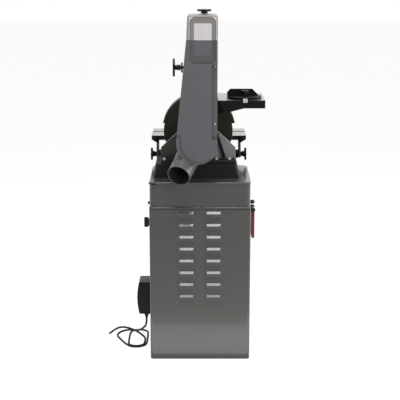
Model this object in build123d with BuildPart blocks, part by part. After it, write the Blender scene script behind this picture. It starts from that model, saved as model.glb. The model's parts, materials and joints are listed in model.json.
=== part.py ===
from build123d import *
from math import acos, atan2, cos, hypot, pi, radians, sin, tan
import os

# Belt and disc sander on a floor cabinet, in millimetres.
# +X is the operator's front (working face of the belt), +Y is the disc side, +Z is up.
# The origin is on the floor at the centre of the four anchor holes.

# Cabinet
CAB_W = 440
CAB_D = 404
CAB_H = 685
CAB_R = 14
SHEET = 2
LEDGE = 16
ANCHOR_X = 390
ANCHOR_Y = 354
ANCHOR_R = 6.5
CAP_W = 440
CAP_D = 396
CAP_R = 32
CAP_TOP = 802
CAP_WALL = 4.5
CAP_BEAD = 8
CAP_LIP = 10
CAP_STEP = 1.5
LOUVER_X = 59
LOUVER_TOP = 675
LOUVER_PITCH = 53.6
LOUVER_ROWS = 8
LOUVER_LEN = 80
LOUVER_RISE = 26
LOUVER_OUT = 9
LOUVER_R = 12
LOUVER_TAPER = 46
LOUVER_SLOT = 16
DOOR_W = 300
DOOR_LOW = 350
DOOR_HIGH = 650
DOOR_GAP = 1.5

# Base and pedestal
BASE_LOW = (-205, 176, -102, 136)
BASE_HIGH = (-195, 161, -92, 126)
BASE_TOP = 862
PED_NEAR = -26
PED_FAR = 140
PED_SHOULDER_X = 86
PED_SHOULDER_Z = 997
PED_SIDE_X = 165
PED_SIDE_Z = 924
PED_WALL = 8
PED_WEB = 16
TUNNEL_R = 84
BEARING_WALL = 34
FOOT_TOP = 874
FOOT_NEAR = -62
FOOT_FAR = 118
FOOT_X = 130
NECK_R = 50
NECK_NEAR = -50
BELT_SLOT = (-78, 62, 32, 98)

# Arbor and drive
ARBOR_X = -8
ARBOR_Z = 973
SHAFT_R = 15
RUN_CLEAR = 0.05
BEARING_R = 31
BEARING_W = 16
DRUM_R = 79
BELT_FAR = -59
BELT_NEAR = -211
MOTOR_Z = 232
MOTOR_R = 85
PULLEY_NEAR = 50
PULLEY_FAR = 80
ARBOR_PULLEY_R = 45
MOTOR_PULLEY_R = 40

# Belt unit
IDLER_X = 18.5
IDLER_Z = 1370.8
IDLER_R = 52
IDLER_CROWN = 1.5
DRUM_GAP = 0.3
IDLER_GAP = 0.8
BELT_T = 1.5
COVER_NEAR = -246
COVER_T = 3
COVER_FACE = 6
RELIEF = 3.5
COVER_X = -10.5
COVER_Z = 978.5
COVER_R = 91
COVER_RIGHT = 73
COVER_SPLIT = 1408.5
COVER_TOP = 1508
COVER_CORNER = 8
COVER_SPLIT_LEFT = -57.4
COVER_TOP_LEFT = -52.6
ARM_NEAR = -50
ARM_FAR = -38
ARM_TOP = 1482
PORT_R = 50
PORT_WALL = 3.5
PORT_SOCKET_R = 47.5
PORT_SOCKET = 32
PORT_MOUTH = (-90, -262, 844)
PORT_AXIS = (-0.31, -0.83, -0.46)
PORT_STRAIGHT = 58
PORT_LEN = 205
PORT_ROOT_R = 60

# Belt table and miter gauge
BTABLE = (74.8, 274, -215, 43)
BTABLE_TOP = 1157
BTABLE_PLATE = 13
BTABLE_DEEP = 34
BTABLE_PIVOT = (88, 1136)
MITER_X = 190
MITER_Y = -144
SLOT_W = 19
SLOT_DEEP = 9.5

# Disc unit
DISC_R = 152.4
DISC_BACK = 205
DISC_FACE = 217
GRIT_T = 1.5
SHROUD_R = 157.5
GUARD_R = 168
GUARD_X = -5
GUARD_Z = 1007
DTABLE = (-226, 215, 222, 440)
DTABLE_TOP = 937
DTABLE_PLATE = 11
DTABLE_DEEP = 25
DTABLE_SLOT_Y = 345
TILT_Y = 228
STUD_R = 87
STUD_X = (-187, 174)

# Electrics and cord
STARTER = (-282, -222, -106, -10, 177, 327)
GLAND = (-242, -84)
CORD_R = 4.5

os.makedirs("parts", exist_ok=True)


def save(builder, node):
    builder.part.label = node
    export_step(builder.part, f"parts/{node}.step")


def block(x0, x1, y0, y1, z0, z1, mode=Mode.ADD):
    with Locations(((x0 + x1) / 2, (y0 + y1) / 2, (z0 + z1) / 2)):
        Box(x1 - x0, y1 - y0, z1 - z0, mode=mode)


def rod_x(x0, x1, y, z, r, mode=Mode.ADD):
    with Locations(Location(((x0 + x1) / 2, y, z), (0, 90, 0))):
        Cylinder(r, x1 - x0, mode=mode)


def rod_y(x, y0, y1, z, r, mode=Mode.ADD):
    with Locations(Location((x, (y0 + y1) / 2, z), (90, 0, 0))):
        Cylinder(r, y1 - y0, mode=mode)


def rod_z(x, y, z0, z1, r, mode=Mode.ADD):
    with Locations((x, y, (z0 + z1) / 2)):
        Cylinder(r, z1 - z0, mode=mode)


def xz_plane(y):
    # Sketch plane whose axes are X and Z, and whose extrusions go towards the near side.
    return Plane(origin=(0, y, 0), x_dir=(1, 0, 0), z_dir=(0, -1, 0))


def hand_knob(plane, reach, head, hub, lobes):
    # Lobed hand knob, drawn from its seat outwards; head is radius and thickness, hub the radius at each end.
    head_r, head_t = head
    seat_r, neck_r = hub
    with BuildPart() as grip:
        with BuildSketch(plane.offset(reach - head_t)):
            Circle(head_r)
            with PolarLocations(head_r * 1.17, lobes):
                Circle(head_r * 0.36, mode=Mode.SUBTRACT)
        extrude(amount=head_t)
        with BuildSketch(plane):
            Circle(seat_r)
        with BuildSketch(plane.offset(reach - head_t)):
            Circle(neck_r)
        loft()
    return grip.part


# Cabinet shell, with louvers pressed out of its near face
with BuildPart() as louver_hood:
    with BuildSketch(xz_plane(SHEET / 2)):
        RectangleRounded(LOUVER_LEN, 2 * LOUVER_RISE, LOUVER_R)
    extrude(amount=LOUVER_OUT + SHEET / 2, taper=LOUVER_TAPER)
    with BuildSketch(xz_plane(SHEET)):
        RectangleRounded(LOUVER_LEN - 2 * SHEET, 2 * (LOUVER_RISE - SHEET), LOUVER_R - SHEET / 2)
    extrude(amount=LOUVER_OUT, taper=LOUVER_TAPER, mode=Mode.SUBTRACT)
    block(-LOUVER_LEN, LOUVER_LEN, -LOUVER_LEN, LOUVER_LEN, -LOUVER_LEN, 0, mode=Mode.SUBTRACT)

louver_places = []
for row in range(LOUVER_ROWS):
    for column in (-LOUVER_X, LOUVER_X):
        louver_places.append((column, -CAB_D / 2, LOUVER_TOP - row * LOUVER_PITCH - LOUVER_RISE))

with BuildPart() as cabinet_shell:
    with BuildSketch():
        RectangleRounded(CAB_W, CAB_D, CAB_R)
    extrude(amount=CAB_H)
    with BuildSketch():
        RectangleRounded(CAB_W - 2 * SHEET, CAB_D - 2 * SHEET, CAB_R - SHEET)
    extrude(amount=CAB_H - SHEET, mode=Mode.SUBTRACT)
    with BuildSketch(Plane.XY.offset(CAB_H - SHEET)):
        RectangleRounded(CAB_W - 2 * LEDGE, CAB_D - 2 * LEDGE, CAB_R)
    extrude(amount=SHEET, mode=Mode.SUBTRACT)
    block(-CAB_W / 2 - 1, -CAB_W / 2 + SHEET + 1, -DOOR_W / 2, DOOR_W / 2, DOOR_LOW, DOOR_HIGH,
          mode=Mode.SUBTRACT)
    with Locations(*louver_places):
        add(louver_hood.part)
    with BuildSketch(xz_plane(-CAB_D / 2 + SHEET + 1)):
        with Locations(*[(x, z) for x, y, z in louver_places]):
            Rectangle(LOUVER_LEN - LOUVER_R, LOUVER_SLOT, align=(Align.CENTER, Align.MIN))
    extrude(amount=SHEET + 1, mode=Mode.SUBTRACT)
save(cabinet_shell, "cabinet_shell")

# Angle-iron floor frame inside the foot of the shell
FRAME_W = CAB_W - 2 * SHEET
FRAME_D = CAB_D - 2 * SHEET
FRAME_LEG = 46
FRAME_T = 3
FRAME_UP = 40
with BuildPart() as floor_frame:
    with BuildSketch():
        RectangleRounded(FRAME_W, FRAME_D, CAB_R - SHEET)
        RectangleRounded(FRAME_W - 2 * FRAME_LEG, FRAME_D - 2 * FRAME_LEG, 6, mode=Mode.SUBTRACT)
        with GridLocations(ANCHOR_X, ANCHOR_Y, 2, 2):
            Circle(ANCHOR_R, mode=Mode.SUBTRACT)
    extrude(amount=FRAME_T)
    with BuildSketch():
        RectangleRounded(FRAME_W, FRAME_D, CAB_R - SHEET)
        RectangleRounded(FRAME_W - 2 * FRAME_T, FRAME_D - 2 * FRAME_T, CAB_R - SHEET - FRAME_T,
                         mode=Mode.SUBTRACT)
    extrude(amount=FRAME_UP)
save(floor_frame, "floor_frame")

# Cap of the cabinet, open below, with the slot that the V-belt runs through
with BuildPart() as cabinet_cap:
    with BuildSketch(Plane.XY.offset(CAB_H)):
        RectangleRounded(CAB_W, CAB_D, CAB_R)
    extrude(amount=CAP_BEAD)
    fillet(cabinet_cap.faces().sort_by(Axis.Z)[-1].edges(), radius=CAP_BEAD / 2)
    with BuildSketch(Plane.XY.offset(CAB_H)):
        RectangleRounded(CAP_W - 2 * CAP_STEP, CAP_D - 2 * CAP_STEP, CAP_R - CAP_STEP)
    extrude(amount=CAP_TOP - CAP_LIP - CAB_H)
    with BuildSketch(Plane.XY.offset(CAP_TOP - CAP_LIP)):
        RectangleRounded(CAP_W, CAP_D, CAP_R)
    extrude(amount=CAP_LIP)
    fillet(cabinet_cap.faces().sort_by(Axis.Z)[-1].edges(), radius=CAP_LIP / 2)
    with BuildSketch(Plane.XY.offset(CAB_H)):
        RectangleRounded(CAP_W - 2 * CAP_WALL, CAP_D - 2 * CAP_WALL, CAP_R - CAP_WALL)
    extrude(amount=CAP_TOP - CAB_H - CAP_WALL, mode=Mode.SUBTRACT)
    block(*BELT_SLOT, CAP_TOP - 20, CAP_TOP + 1, mode=Mode.SUBTRACT)
save(cabinet_cap, "cabinet_cap")

# Rear door in the shell's rear face, hinged at its far edge
DOOR_FACE = -CAB_W / 2 - SHEET
DOOR_Y = DOOR_W / 2 - DOOR_GAP
DOOR_LIP = 8
HINGE_R = 6
HINGE_X = DOOR_FACE - HINGE_R - 1
HINGE_Y = DOOR_W / 2 + 12
HINGE_Z = (DOOR_LOW + 60, DOOR_HIGH - 60)
HINGE_LEN = 30
LATCH_Y = -DOOR_W / 2 + 26
LATCH_Z = 609
with BuildPart() as rear_door:
    block(DOOR_FACE, DOOR_FACE + SHEET, -DOOR_Y, DOOR_Y, DOOR_LOW + DOOR_GAP, DOOR_HIGH - DOOR_GAP)
    block(DOOR_FACE + SHEET, DOOR_FACE + DOOR_LIP, -DOOR_Y, DOOR_Y, DOOR_LOW + DOOR_GAP, DOOR_HIGH - DOOR_GAP)
    block(DOOR_FACE + SHEET, DOOR_FACE + DOOR_LIP + 1, -DOOR_Y + SHEET, DOOR_Y - SHEET,
          DOOR_LOW + DOOR_GAP + SHEET, DOOR_HIGH - DOOR_GAP - SHEET, mode=Mode.SUBTRACT)
    rod_x(DOOR_FACE - 1, DOOR_FACE + SHEET + 1, LATCH_Y, LATCH_Z, 8 + RUN_CLEAR, mode=Mode.SUBTRACT)
    for z in HINGE_Z:
        block(HINGE_X, DOOR_FACE, HINGE_Y - 40, HINGE_Y, z + 1, z + HINGE_LEN)
        rod_z(HINGE_X, HINGE_Y, z + 1, z + HINGE_LEN, HINGE_R)
        rod_z(HINGE_X, HINGE_Y, z, z + HINGE_LEN + 1, 3 + RUN_CLEAR, mode=Mode.SUBTRACT)
save(rear_door, "rear_door")

# Fixed hinge leaves with their pins
with BuildPart() as door_hinges:
    for z in HINGE_Z:
        block(HINGE_X, -CAB_W / 2, HINGE_Y, HINGE_Y + 30, z - HINGE_LEN, z)
        rod_z(HINGE_X, HINGE_Y, z - HINGE_LEN, z, HINGE_R)
        rod_z(HINGE_X, HINGE_Y, z - HINGE_LEN, z + HINGE_LEN, 3)
save(door_hinges, "door_hinges")

# Quarter-turn latch of the rear door: wing knob outside, cam inside
LATCH_CAM = DOOR_FACE + DOOR_LIP + 0.6
with BuildPart() as door_latch:
    rod_x(DOOR_FACE - 4, LATCH_CAM + 4, LATCH_Y, LATCH_Z, 8)
    rod_x(DOOR_FACE - 6, DOOR_FACE - 0.4, LATCH_Y, LATCH_Z, 17)
    with BuildSketch(Plane.YZ.offset(DOOR_FACE - 23)):
        with Locations((LATCH_Y, LATCH_Z)):
            SlotOverall(44, 13, rotation=90)
    extrude(amount=17, taper=-3)
    with BuildSketch(Plane.YZ.offset(LATCH_CAM)):
        with Locations((LATCH_Y, LATCH_Z - 12)):
            SlotOverall(48, 20, rotation=90)
    extrude(amount=4)
save(door_latch, "door_latch")

# Motor shelf across the cabinet, with turned-up flanges
SHELF_Z = 132
SHELF_T = 5
SHELF_Y = (-180, 40)
with BuildPart() as motor_shelf:
    block(-FRAME_W / 2, FRAME_W / 2, *SHELF_Y, SHELF_Z, SHELF_Z + SHELF_T)
    for side in (-1, 1):
        x0, x1 = sorted((side * FRAME_W / 2, side * (FRAME_W / 2 - SHELF_T)))
        block(x0, x1, *SHELF_Y, SHELF_Z, SHELF_Z + 45)
save(motor_shelf, "motor_shelf")

# Motor: finned body with feet, end bells and a terminal box
MOTOR_Y = (-165, 30)
MOTOR_FOOT = SHELF_Z + SHELF_T
with BuildPart() as motor_body:
    rod_y(ARBOR_X, MOTOR_Y[0] + 25, MOTOR_Y[1] - 25, MOTOR_Z, MOTOR_R - 5)
    with BuildSketch(xz_plane(MOTOR_Y[1] - 30)):
        with Locations((ARBOR_X, MOTOR_Z)):
            with PolarLocations(MOTOR_R - 4, 24):
                Rectangle(8, 3.5)
    extrude(amount=MOTOR_Y[1] - MOTOR_Y[0] - 60)
    with BuildSketch(xz_plane(MOTOR_Y[1] - 25)):
        with Locations((ARBOR_X, MOTOR_Z)):
            Circle(MOTOR_R - 3)
    extrude(amount=-25, taper=22)
    with BuildSketch(xz_plane(MOTOR_Y[0] + 25)):
        with Locations((ARBOR_X, MOTOR_Z)):
            Circle(MOTOR_R - 3)
    extrude(amount=25, taper=22)
    for side in (-1, 1):
        x_mid = ARBOR_X + side * 52
        block(x_mid - 28, x_mid + 28, -130, -5, MOTOR_FOOT, MOTOR_FOOT + 10)
        block(x_mid - 8, x_mid + 8, -120, -15, MOTOR_FOOT, MOTOR_Z - 30)
    block(ARBOR_X + 45, ARBOR_X + 125, -115, -35, MOTOR_Z - 20, MOTOR_Z + 45)
    rod_y(ARBOR_X, MOTOR_Y[0] + 10, MOTOR_Y[1] + 1, MOTOR_Z, 9 + RUN_CLEAR, mode=Mode.SUBTRACT)
save(motor_body, "motor_body")

with BuildPart() as motor_shaft:
    rod_y(ARBOR_X, MOTOR_Y[0] + 11, PULLEY_FAR + 6, MOTOR_Z, 9)
save(motor_shaft, "motor_shaft")


def pulley(z, r, bore):
    # One-groove V pulley on the shaft at height z; the belt's top sits at radius r.
    middle = (PULLEY_NEAR + PULLEY_FAR) / 2
    with BuildPart() as wheel:
        rod_y(ARBOR_X, PULLEY_NEAR, PULLEY_FAR, z, bore + 12)
        rod_y(ARBOR_X, middle - 10, middle + 10, z, r + 2)
        with BuildSketch(Plane(origin=(ARBOR_X, middle, z), x_dir=(0, 1, 0), z_dir=(1, 0, 0))):
            with BuildLine():
                Polyline((-7.6, r + 3), (7.6, r + 3), (5.2, r - 9), (-5.2, r - 9), close=True)
            make_face()
        revolve(axis=Axis((ARBOR_X, middle, z), (0, 1, 0)), mode=Mode.SUBTRACT)
        rod_y(ARBOR_X, PULLEY_NEAR - 1, PULLEY_FAR + 1, z, bore, mode=Mode.SUBTRACT)
    return wheel


motor_pulley = pulley(MOTOR_Z, MOTOR_PULLEY_R, 9)
save(motor_pulley, "motor_pulley")

arbor_pulley = pulley(ARBOR_Z, ARBOR_PULLEY_R, SHAFT_R)
save(arbor_pulley, "arbor_pulley")


def loop_face(plane, low_x, low_z, low_r, high_x, high_z, high_r):
    # Face inside a belt round two wheels: two arcs joined by their common tangents.
    run = hypot(high_x - low_x, high_z - low_z)
    up = atan2(high_z - low_z, high_x - low_x)
    spread = acos((low_r - high_r) / run)

    def point(x, z, r, angle):
        return (x + r * cos(angle), z + r * sin(angle))

    left_low = point(low_x, low_z, low_r, up + spread)
    right_low = point(low_x, low_z, low_r, up - spread)
    left_high = point(high_x, high_z, high_r, up + spread)
    right_high = point(high_x, high_z, high_r, up - spread)
    with BuildSketch(plane) as face:
        with BuildLine():
            Line(right_low, right_high)
            ThreePointArc(right_high, point(high_x, high_z, high_r, up), left_high)
            Line(left_high, left_low)
            ThreePointArc(left_low, point(low_x, low_z, low_r, up + pi), right_low)
        make_face()
    return face.sketch


# V-belt from the motor pulley to the arbor pulley
VBELT_W = 9.6
VBELT_T = 8
VBELT_FAR = (PULLEY_NEAR + PULLEY_FAR + VBELT_W) / 2
with BuildPart() as drive_belt:
    extrude(loop_face(xz_plane(VBELT_FAR), ARBOR_X, MOTOR_Z, MOTOR_PULLEY_R,
                      ARBOR_X, ARBOR_Z, ARBOR_PULLEY_R), amount=VBELT_W)
    extrude(loop_face(xz_plane(VBELT_FAR), ARBOR_X, MOTOR_Z, MOTOR_PULLEY_R - VBELT_T,
                      ARBOR_X, ARBOR_Z, ARBOR_PULLEY_R - VBELT_T), amount=VBELT_W, mode=Mode.SUBTRACT)
save(drive_belt, "drive_belt")

# Base casting: hollow tapered plinth with a stop boss for the lowered bed
STOP_X = -141
STOP_Z = 864
STOP_R = 18
BASE_WALL = 8


def plinth_face(corners, inset, z):
    x0, x1, y0, y1 = corners
    with BuildSketch(Plane.XY.offset(z)) as face:
        with Locations(((x0 + x1) / 2, (y0 + y1) / 2)):
            RectangleRounded(x1 - x0 - 2 * inset, y1 - y0 - 2 * inset, 16 - inset)
    return face.sketch


with BuildPart() as base_casting:
    loft([plinth_face(BASE_LOW, 0, CAP_TOP), plinth_face(BASE_HIGH, 0, BASE_TOP)], ruled=True)
    rod_y(STOP_X, -96, FOOT_NEAR - 1, STOP_Z, STOP_R)
    loft([plinth_face(BASE_LOW, BASE_WALL, CAP_TOP), plinth_face(BASE_HIGH, BASE_WALL, BASE_TOP - BASE_WALL)],
         ruled=True, mode=Mode.SUBTRACT)
    block(*BELT_SLOT, CAP_TOP, BASE_TOP + 1, mode=Mode.SUBTRACT)
save(base_casting, "base_casting")

# Arbor pedestal: house-shaped web, round-topped tunnel for the V-belt, bearing neck on the near side
SLOPE = hypot(PED_SIDE_X - PED_SHOULDER_X, PED_SHOULDER_Z - PED_SIDE_Z)
CROWN_UP = (PED_SIDE_X - PED_SHOULDER_X) / SLOPE
CROWN_OUT = (PED_SHOULDER_Z - PED_SIDE_Z) / SLOPE
CROWN_R = PED_SHOULDER_X * CROWN_OUT + (PED_SHOULDER_Z - ARBOR_Z) * CROWN_UP


def pedestal_face(plane):
    # Straight sides, sloping shoulders and a crown about the arbor.
    crown = (CROWN_R * CROWN_OUT, ARBOR_Z + CROWN_R * CROWN_UP)
    with BuildSketch(plane) as face:
        with BuildLine():
            Polyline((-crown[0], crown[1]), (-PED_SIDE_X, PED_SIDE_Z), (-PED_SIDE_X, BASE_TOP),
                     (PED_SIDE_X, BASE_TOP), (PED_SIDE_X, PED_SIDE_Z), crown)
            ThreePointArc(crown, (0, ARBOR_Z + CROWN_R), (-crown[0], crown[1]))
        make_face()
    return face.sketch.moved(Location((ARBOR_X, 0, 0)))


def tunnel_face(plane, r, bottom):
    # Round-topped outline about the arbor, straight down to the base.
    with BuildSketch(plane) as face:
        with Locations((ARBOR_X, ARBOR_Z)):
            Circle(r)
            Rectangle(2 * r, ARBOR_Z - bottom, align=(Align.CENTER, Align.MAX))
    return face.sketch


with BuildPart() as arbor_pedestal:
    extrude(pedestal_face(xz_plane(PED_NEAR + PED_WEB)), amount=PED_WEB)
    extrude(tunnel_face(xz_plane(PED_FAR), TUNNEL_R, BASE_TOP), amount=PED_FAR - PED_NEAR)
    block(ARBOR_X - PED_SIDE_X, ARBOR_X + PED_SIDE_X, FOOT_NEAR, PED_NEAR + PED_WEB, BASE_TOP, FOOT_TOP)
    block(ARBOR_X - FOOT_X, ARBOR_X + FOOT_X, PED_NEAR, FOOT_FAR, BASE_TOP, FOOT_TOP)
    extrude(tunnel_face(xz_plane(PED_FAR - BEARING_WALL), TUNNEL_R - PED_WALL, BASE_TOP - 1),
            amount=PED_FAR - PED_NEAR - 2 * BEARING_WALL, mode=Mode.SUBTRACT)
    rod_y(ARBOR_X, NECK_NEAR, PED_NEAR, ARBOR_Z, NECK_R)
    rod_y(ARBOR_X, NECK_NEAR - 1, PED_FAR + 1, ARBOR_Z, BEARING_R - 9, mode=Mode.SUBTRACT)
    rod_y(ARBOR_X, NECK_NEAR - 1, NECK_NEAR + BEARING_W + 2, ARBOR_Z, BEARING_R, mode=Mode.SUBTRACT)
    rod_y(ARBOR_X, PED_FAR - BEARING_W - 2, PED_FAR + 1, ARBOR_Z, BEARING_R, mode=Mode.SUBTRACT)
save(arbor_pedestal, "arbor_pedestal")

with BuildPart() as arbor_bearings:
    for y0 in (NECK_NEAR + 2, PED_FAR - BEARING_W - 2):
        rod_y(ARBOR_X, y0, y0 + BEARING_W, ARBOR_Z, BEARING_R)
        rod_y(ARBOR_X, y0 - 1, y0 + BEARING_W + 1, ARBOR_Z, SHAFT_R + RUN_CLEAR, mode=Mode.SUBTRACT)
save(arbor_bearings, "arbor_bearings")

# Bolts of the pedestal foot
FOOT_BOLT_X = (-155, -105, 72, 128)
FOOT_BOLT_Y = (FOOT_NEAR + PED_NEAR) / 2 - 4
with BuildPart() as frame_bolts:
    for x in FOOT_BOLT_X:
        rod_z(x, FOOT_BOLT_Y, FOOT_TOP, FOOT_TOP + 1.5, 10.5)
        with BuildSketch(Plane.XY.offset(FOOT_TOP + 1.5)):
            with Locations((x, FOOT_BOLT_Y)):
                RegularPolygon(9, 6)
        extrude(amount=7)
save(frame_bolts, "frame_bolts")

# Arbor shaft, with the nut that holds the drum
NUT_NEAR = -202
NUT_FAR = -190
with BuildPart() as arbor_shaft:
    rod_y(ARBOR_X, NUT_FAR, DISC_BACK - 3, ARBOR_Z, SHAFT_R)
    rod_y(ARBOR_X, NUT_NEAR - 3, NUT_FAR, ARBOR_Z, SHAFT_R - 3)
save(arbor_shaft, "arbor_shaft")

with BuildPart() as arbor_nut:
    with BuildSketch(xz_plane(NUT_FAR)):
        with Locations((ARBOR_X, ARBOR_Z)):
            RegularPolygon(18, 6, major_radius=False)
            Circle(SHAFT_R - 3, mode=Mode.SUBTRACT)
    extrude(amount=NUT_FAR - NUT_NEAR)
save(arbor_nut, "arbor_nut")

# Drive drum: shell, two webs and a hub
DRUM_WALL = 8
with BuildPart() as drive_drum:
    rod_y(ARBOR_X, BELT_NEAR, BELT_FAR, ARBOR_Z, DRUM_R)
    rod_y(ARBOR_X, BELT_NEAR - 1, BELT_FAR + 1, ARBOR_Z, DRUM_R - DRUM_WALL, mode=Mode.SUBTRACT)
    rod_y(ARBOR_X, NUT_FAR, BELT_FAR - 4, ARBOR_Z, SHAFT_R + 10)
    for y0 in (NUT_FAR + 8, BELT_FAR - 24):
        rod_y(ARBOR_X, y0, y0 + 9, ARBOR_Z, DRUM_R - DRUM_WALL)
    rod_y(ARBOR_X, BELT_NEAR, BELT_FAR, ARBOR_Z, SHAFT_R, mode=Mode.SUBTRACT)
save(drive_drum, "drive_drum")

# Disc plate with its hub, and the abrasive disc stuck to it
with BuildPart() as disc_plate:
    rod_y(ARBOR_X, DISC_BACK, DISC_FACE, ARBOR_Z, DISC_R)
    rod_y(ARBOR_X, PED_FAR + 16, DISC_BACK, ARBOR_Z, 34)
    rod_y(ARBOR_X, PED_FAR, DISC_BACK - 3, ARBOR_Z, SHAFT_R, mode=Mode.SUBTRACT)
save(disc_plate, "disc_plate")

with BuildPart() as abrasive_disc:
    rod_y(ARBOR_X, DISC_FACE, DISC_FACE + GRIT_T, ARBOR_Z, DISC_R)
save(abrasive_disc, "abrasive_disc")

# Lower shroud and upper guard round the disc
SHROUD_T = 3
SHROUD_RIM = 212
SHROUD_HOLE = 40
GUARD_RIM = 224
GUARD_LIP = 12


def rim_face(y, x, r, hole, keep_above):
    # Part of a ring round the disc on one side of the guard's parting height.
    with BuildSketch(xz_plane(y)) as face:
        with Locations((x, ARBOR_Z)):
            Circle(r)
            Circle(hole, mode=Mode.SUBTRACT)
        with Locations((ARBOR_X, GUARD_Z)):
            Rectangle(3 * r, 3 * r, align=(Align.CENTER, Align.MAX if keep_above else Align.MIN),
                      mode=Mode.SUBTRACT)
    return face.sketch


with BuildPart() as disc_shroud:
    extrude(rim_face(PED_FAR + SHROUD_T, ARBOR_X, SHROUD_R, SHROUD_HOLE, False), amount=SHROUD_T)
    extrude(rim_face(SHROUD_RIM, ARBOR_X, SHROUD_R, SHROUD_R - SHROUD_T, False),
            amount=SHROUD_RIM - PED_FAR - SHROUD_T)
save(disc_shroud, "disc_shroud")

with BuildPart() as disc_guard:
    extrude(rim_face(PED_FAR + SHROUD_T, GUARD_X, GUARD_R, SHROUD_HOLE, True), amount=SHROUD_T)
    extrude(rim_face(GUARD_RIM, GUARD_X, GUARD_R, GUARD_R - SHROUD_T, True),
            amount=GUARD_RIM - PED_FAR - SHROUD_T)
    extrude(rim_face(GUARD_RIM, GUARD_X, GUARD_R, DISC_R - GUARD_LIP, True), amount=SHROUD_T)
save(disc_guard, "disc_guard")

# Sanding belt round the drive drum and the idler
def belt_face(thickness):
    return loop_face(xz_plane(BELT_FAR), ARBOR_X, ARBOR_Z, DRUM_R + DRUM_GAP + thickness,
                     IDLER_X, IDLER_Z, IDLER_R + IDLER_GAP + thickness)


print("sanding belt length", round(belt_face(BELT_T / 2).face().outer_wire().length, 1))
with BuildPart() as sanding_belt:
    extrude(belt_face(BELT_T), amount=BELT_FAR - BELT_NEAR)
    extrude(belt_face(0), amount=BELT_FAR - BELT_NEAR, mode=Mode.SUBTRACT)
save(sanding_belt, "sanding_belt")

# Outline shared by the belt cover and the arm behind it
OPEN_ANGLE = 22
LEAN = atan2(COVER_SPLIT_LEFT - (COVER_X - COVER_R), COVER_SPLIT - COVER_Z)


def left_edge(z, inset):
    # X of the leaning left side at height z.
    return COVER_SPLIT_LEFT + inset / cos(LEAN) - (COVER_SPLIT - z) * tan(LEAN)


def cover_face(plane, inset, right, top):
    # Round bottom near the arbor, a leaning left side and an upright right side.
    r = (COVER_X - left_edge(COVER_Z, inset)) * cos(LEAN)
    low_right = (COVER_X + r * cos(radians(OPEN_ANGLE)), COVER_Z - r * sin(radians(OPEN_ANGLE)))
    tangent = (COVER_X - r * cos(LEAN), COVER_Z + r * sin(LEAN))
    with BuildSketch(plane) as face:
        with BuildLine():
            ThreePointArc(low_right, (COVER_X, COVER_Z - r), tangent)
            Polyline(tangent, (left_edge(top, inset), top), (right, top), (right, low_right[1]), low_right)
        make_face()
    return face.sketch


# Bed arm: plate with a hub on the pedestal's neck, ribs for the platen and a fork for the idler carriage
FORK_HALF = 22.3
FORK_Z = (1250, 1468)
ARM_RIGHT = 64
SCREW_R = 5
SCREW_Y = (ARM_NEAR + ARM_FAR) / 2
HUB_R = 63
PLATEN_FACE = ARBOR_X + DRUM_R
PLATEN_T = 8
PLATEN_Z = (1062, 1312)
RIB_X = 22
RIB_Z = (1090, 1225)
RIB_T = 14
with BuildPart() as belt_arm:
    extrude(cover_face(xz_plane(ARM_FAR), 0, ARM_RIGHT, ARM_TOP), amount=ARM_FAR - ARM_NEAR)
    rod_y(ARBOR_X, ARM_NEAR, PED_NEAR - 2, ARBOR_Z, HUB_R)
    rod_y(ARBOR_X, ARM_NEAR - 1, PED_NEAR, ARBOR_Z, NECK_R + RUN_CLEAR, mode=Mode.SUBTRACT)
    for z in RIB_Z:
        block(RIB_X, PLATEN_FACE - PLATEN_T, BELT_NEAR + 12, ARM_NEAR, z, z + RIB_T)
    block(IDLER_X - FORK_HALF, IDLER_X + FORK_HALF, ARM_NEAR - 1, ARM_FAR + 1, *FORK_Z, mode=Mode.SUBTRACT)
    rod_z(IDLER_X, SCREW_Y, FORK_Z[1] - 1, ARM_TOP + 1, SCREW_R + RUN_CLEAR, mode=Mode.SUBTRACT)
save(belt_arm, "belt_arm")

with BuildPart() as platen:
    block(PLATEN_FACE - PLATEN_T, PLATEN_FACE, BELT_NEAR, BELT_FAR, *PLATEN_Z)
    fillet(platen.edges().filter_by(Axis.Y).group_by(Axis.X)[-1], radius=5)
save(platen, "platen")

# Idler carriage: an H-shaped slide in the arm's fork
CARRIAGE_Z = (1268, 1425)
KNUCKLE_Y = -58
KNUCKLE_R = 7
TRACK_Y = -31
TRACK_Z = 1277
TRACK_SEAT = -84
TRACK_REACH = 34
TRACK_BOSS = (-82, -75)
TRACK_BOSS_R = 22
TRACK_TUBE_R = 6.5
SLIDE_GAP = 0.3
SLIDE_HALF = FORK_HALF - SLIDE_GAP
SLIDE_FLANGE = 32
SCREW_LOW = 1395
with BuildPart() as idler_carriage:
    block(IDLER_X - SLIDE_FLANGE, IDLER_X + SLIDE_FLANGE, KNUCKLE_Y, ARM_NEAR - SLIDE_GAP, *CARRIAGE_Z)
    block(IDLER_X - SLIDE_HALF, IDLER_X + SLIDE_HALF, ARM_NEAR - SLIDE_GAP, ARM_FAR + SLIDE_GAP, *CARRIAGE_Z)
    block(IDLER_X - SLIDE_FLANGE, IDLER_X + SLIDE_FLANGE, ARM_FAR + SLIDE_GAP, TRACK_Y + 7, *CARRIAGE_Z)
    rod_z(IDLER_X, KNUCKLE_Y, CARRIAGE_Z[0] - 1, CARRIAGE_Z[1] + 1, KNUCKLE_R + RUN_CLEAR, mode=Mode.SUBTRACT)
    rod_z(IDLER_X, SCREW_Y, SCREW_LOW - 5, CARRIAGE_Z[1] + 1, SCREW_R + RUN_CLEAR, mode=Mode.SUBTRACT)
    rod_x(*TRACK_BOSS, TRACK_Y, TRACK_Z, TRACK_BOSS_R)
    rod_x(TRACK_BOSS[0], IDLER_X - SLIDE_FLANGE + 1, TRACK_Y, TRACK_Z, TRACK_TUBE_R)
    rod_x(TRACK_BOSS[0] - 1, IDLER_X, TRACK_Y, TRACK_Z, SCREW_R + RUN_CLEAR, mode=Mode.SUBTRACT)
save(idler_carriage, "idler_carriage")

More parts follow.
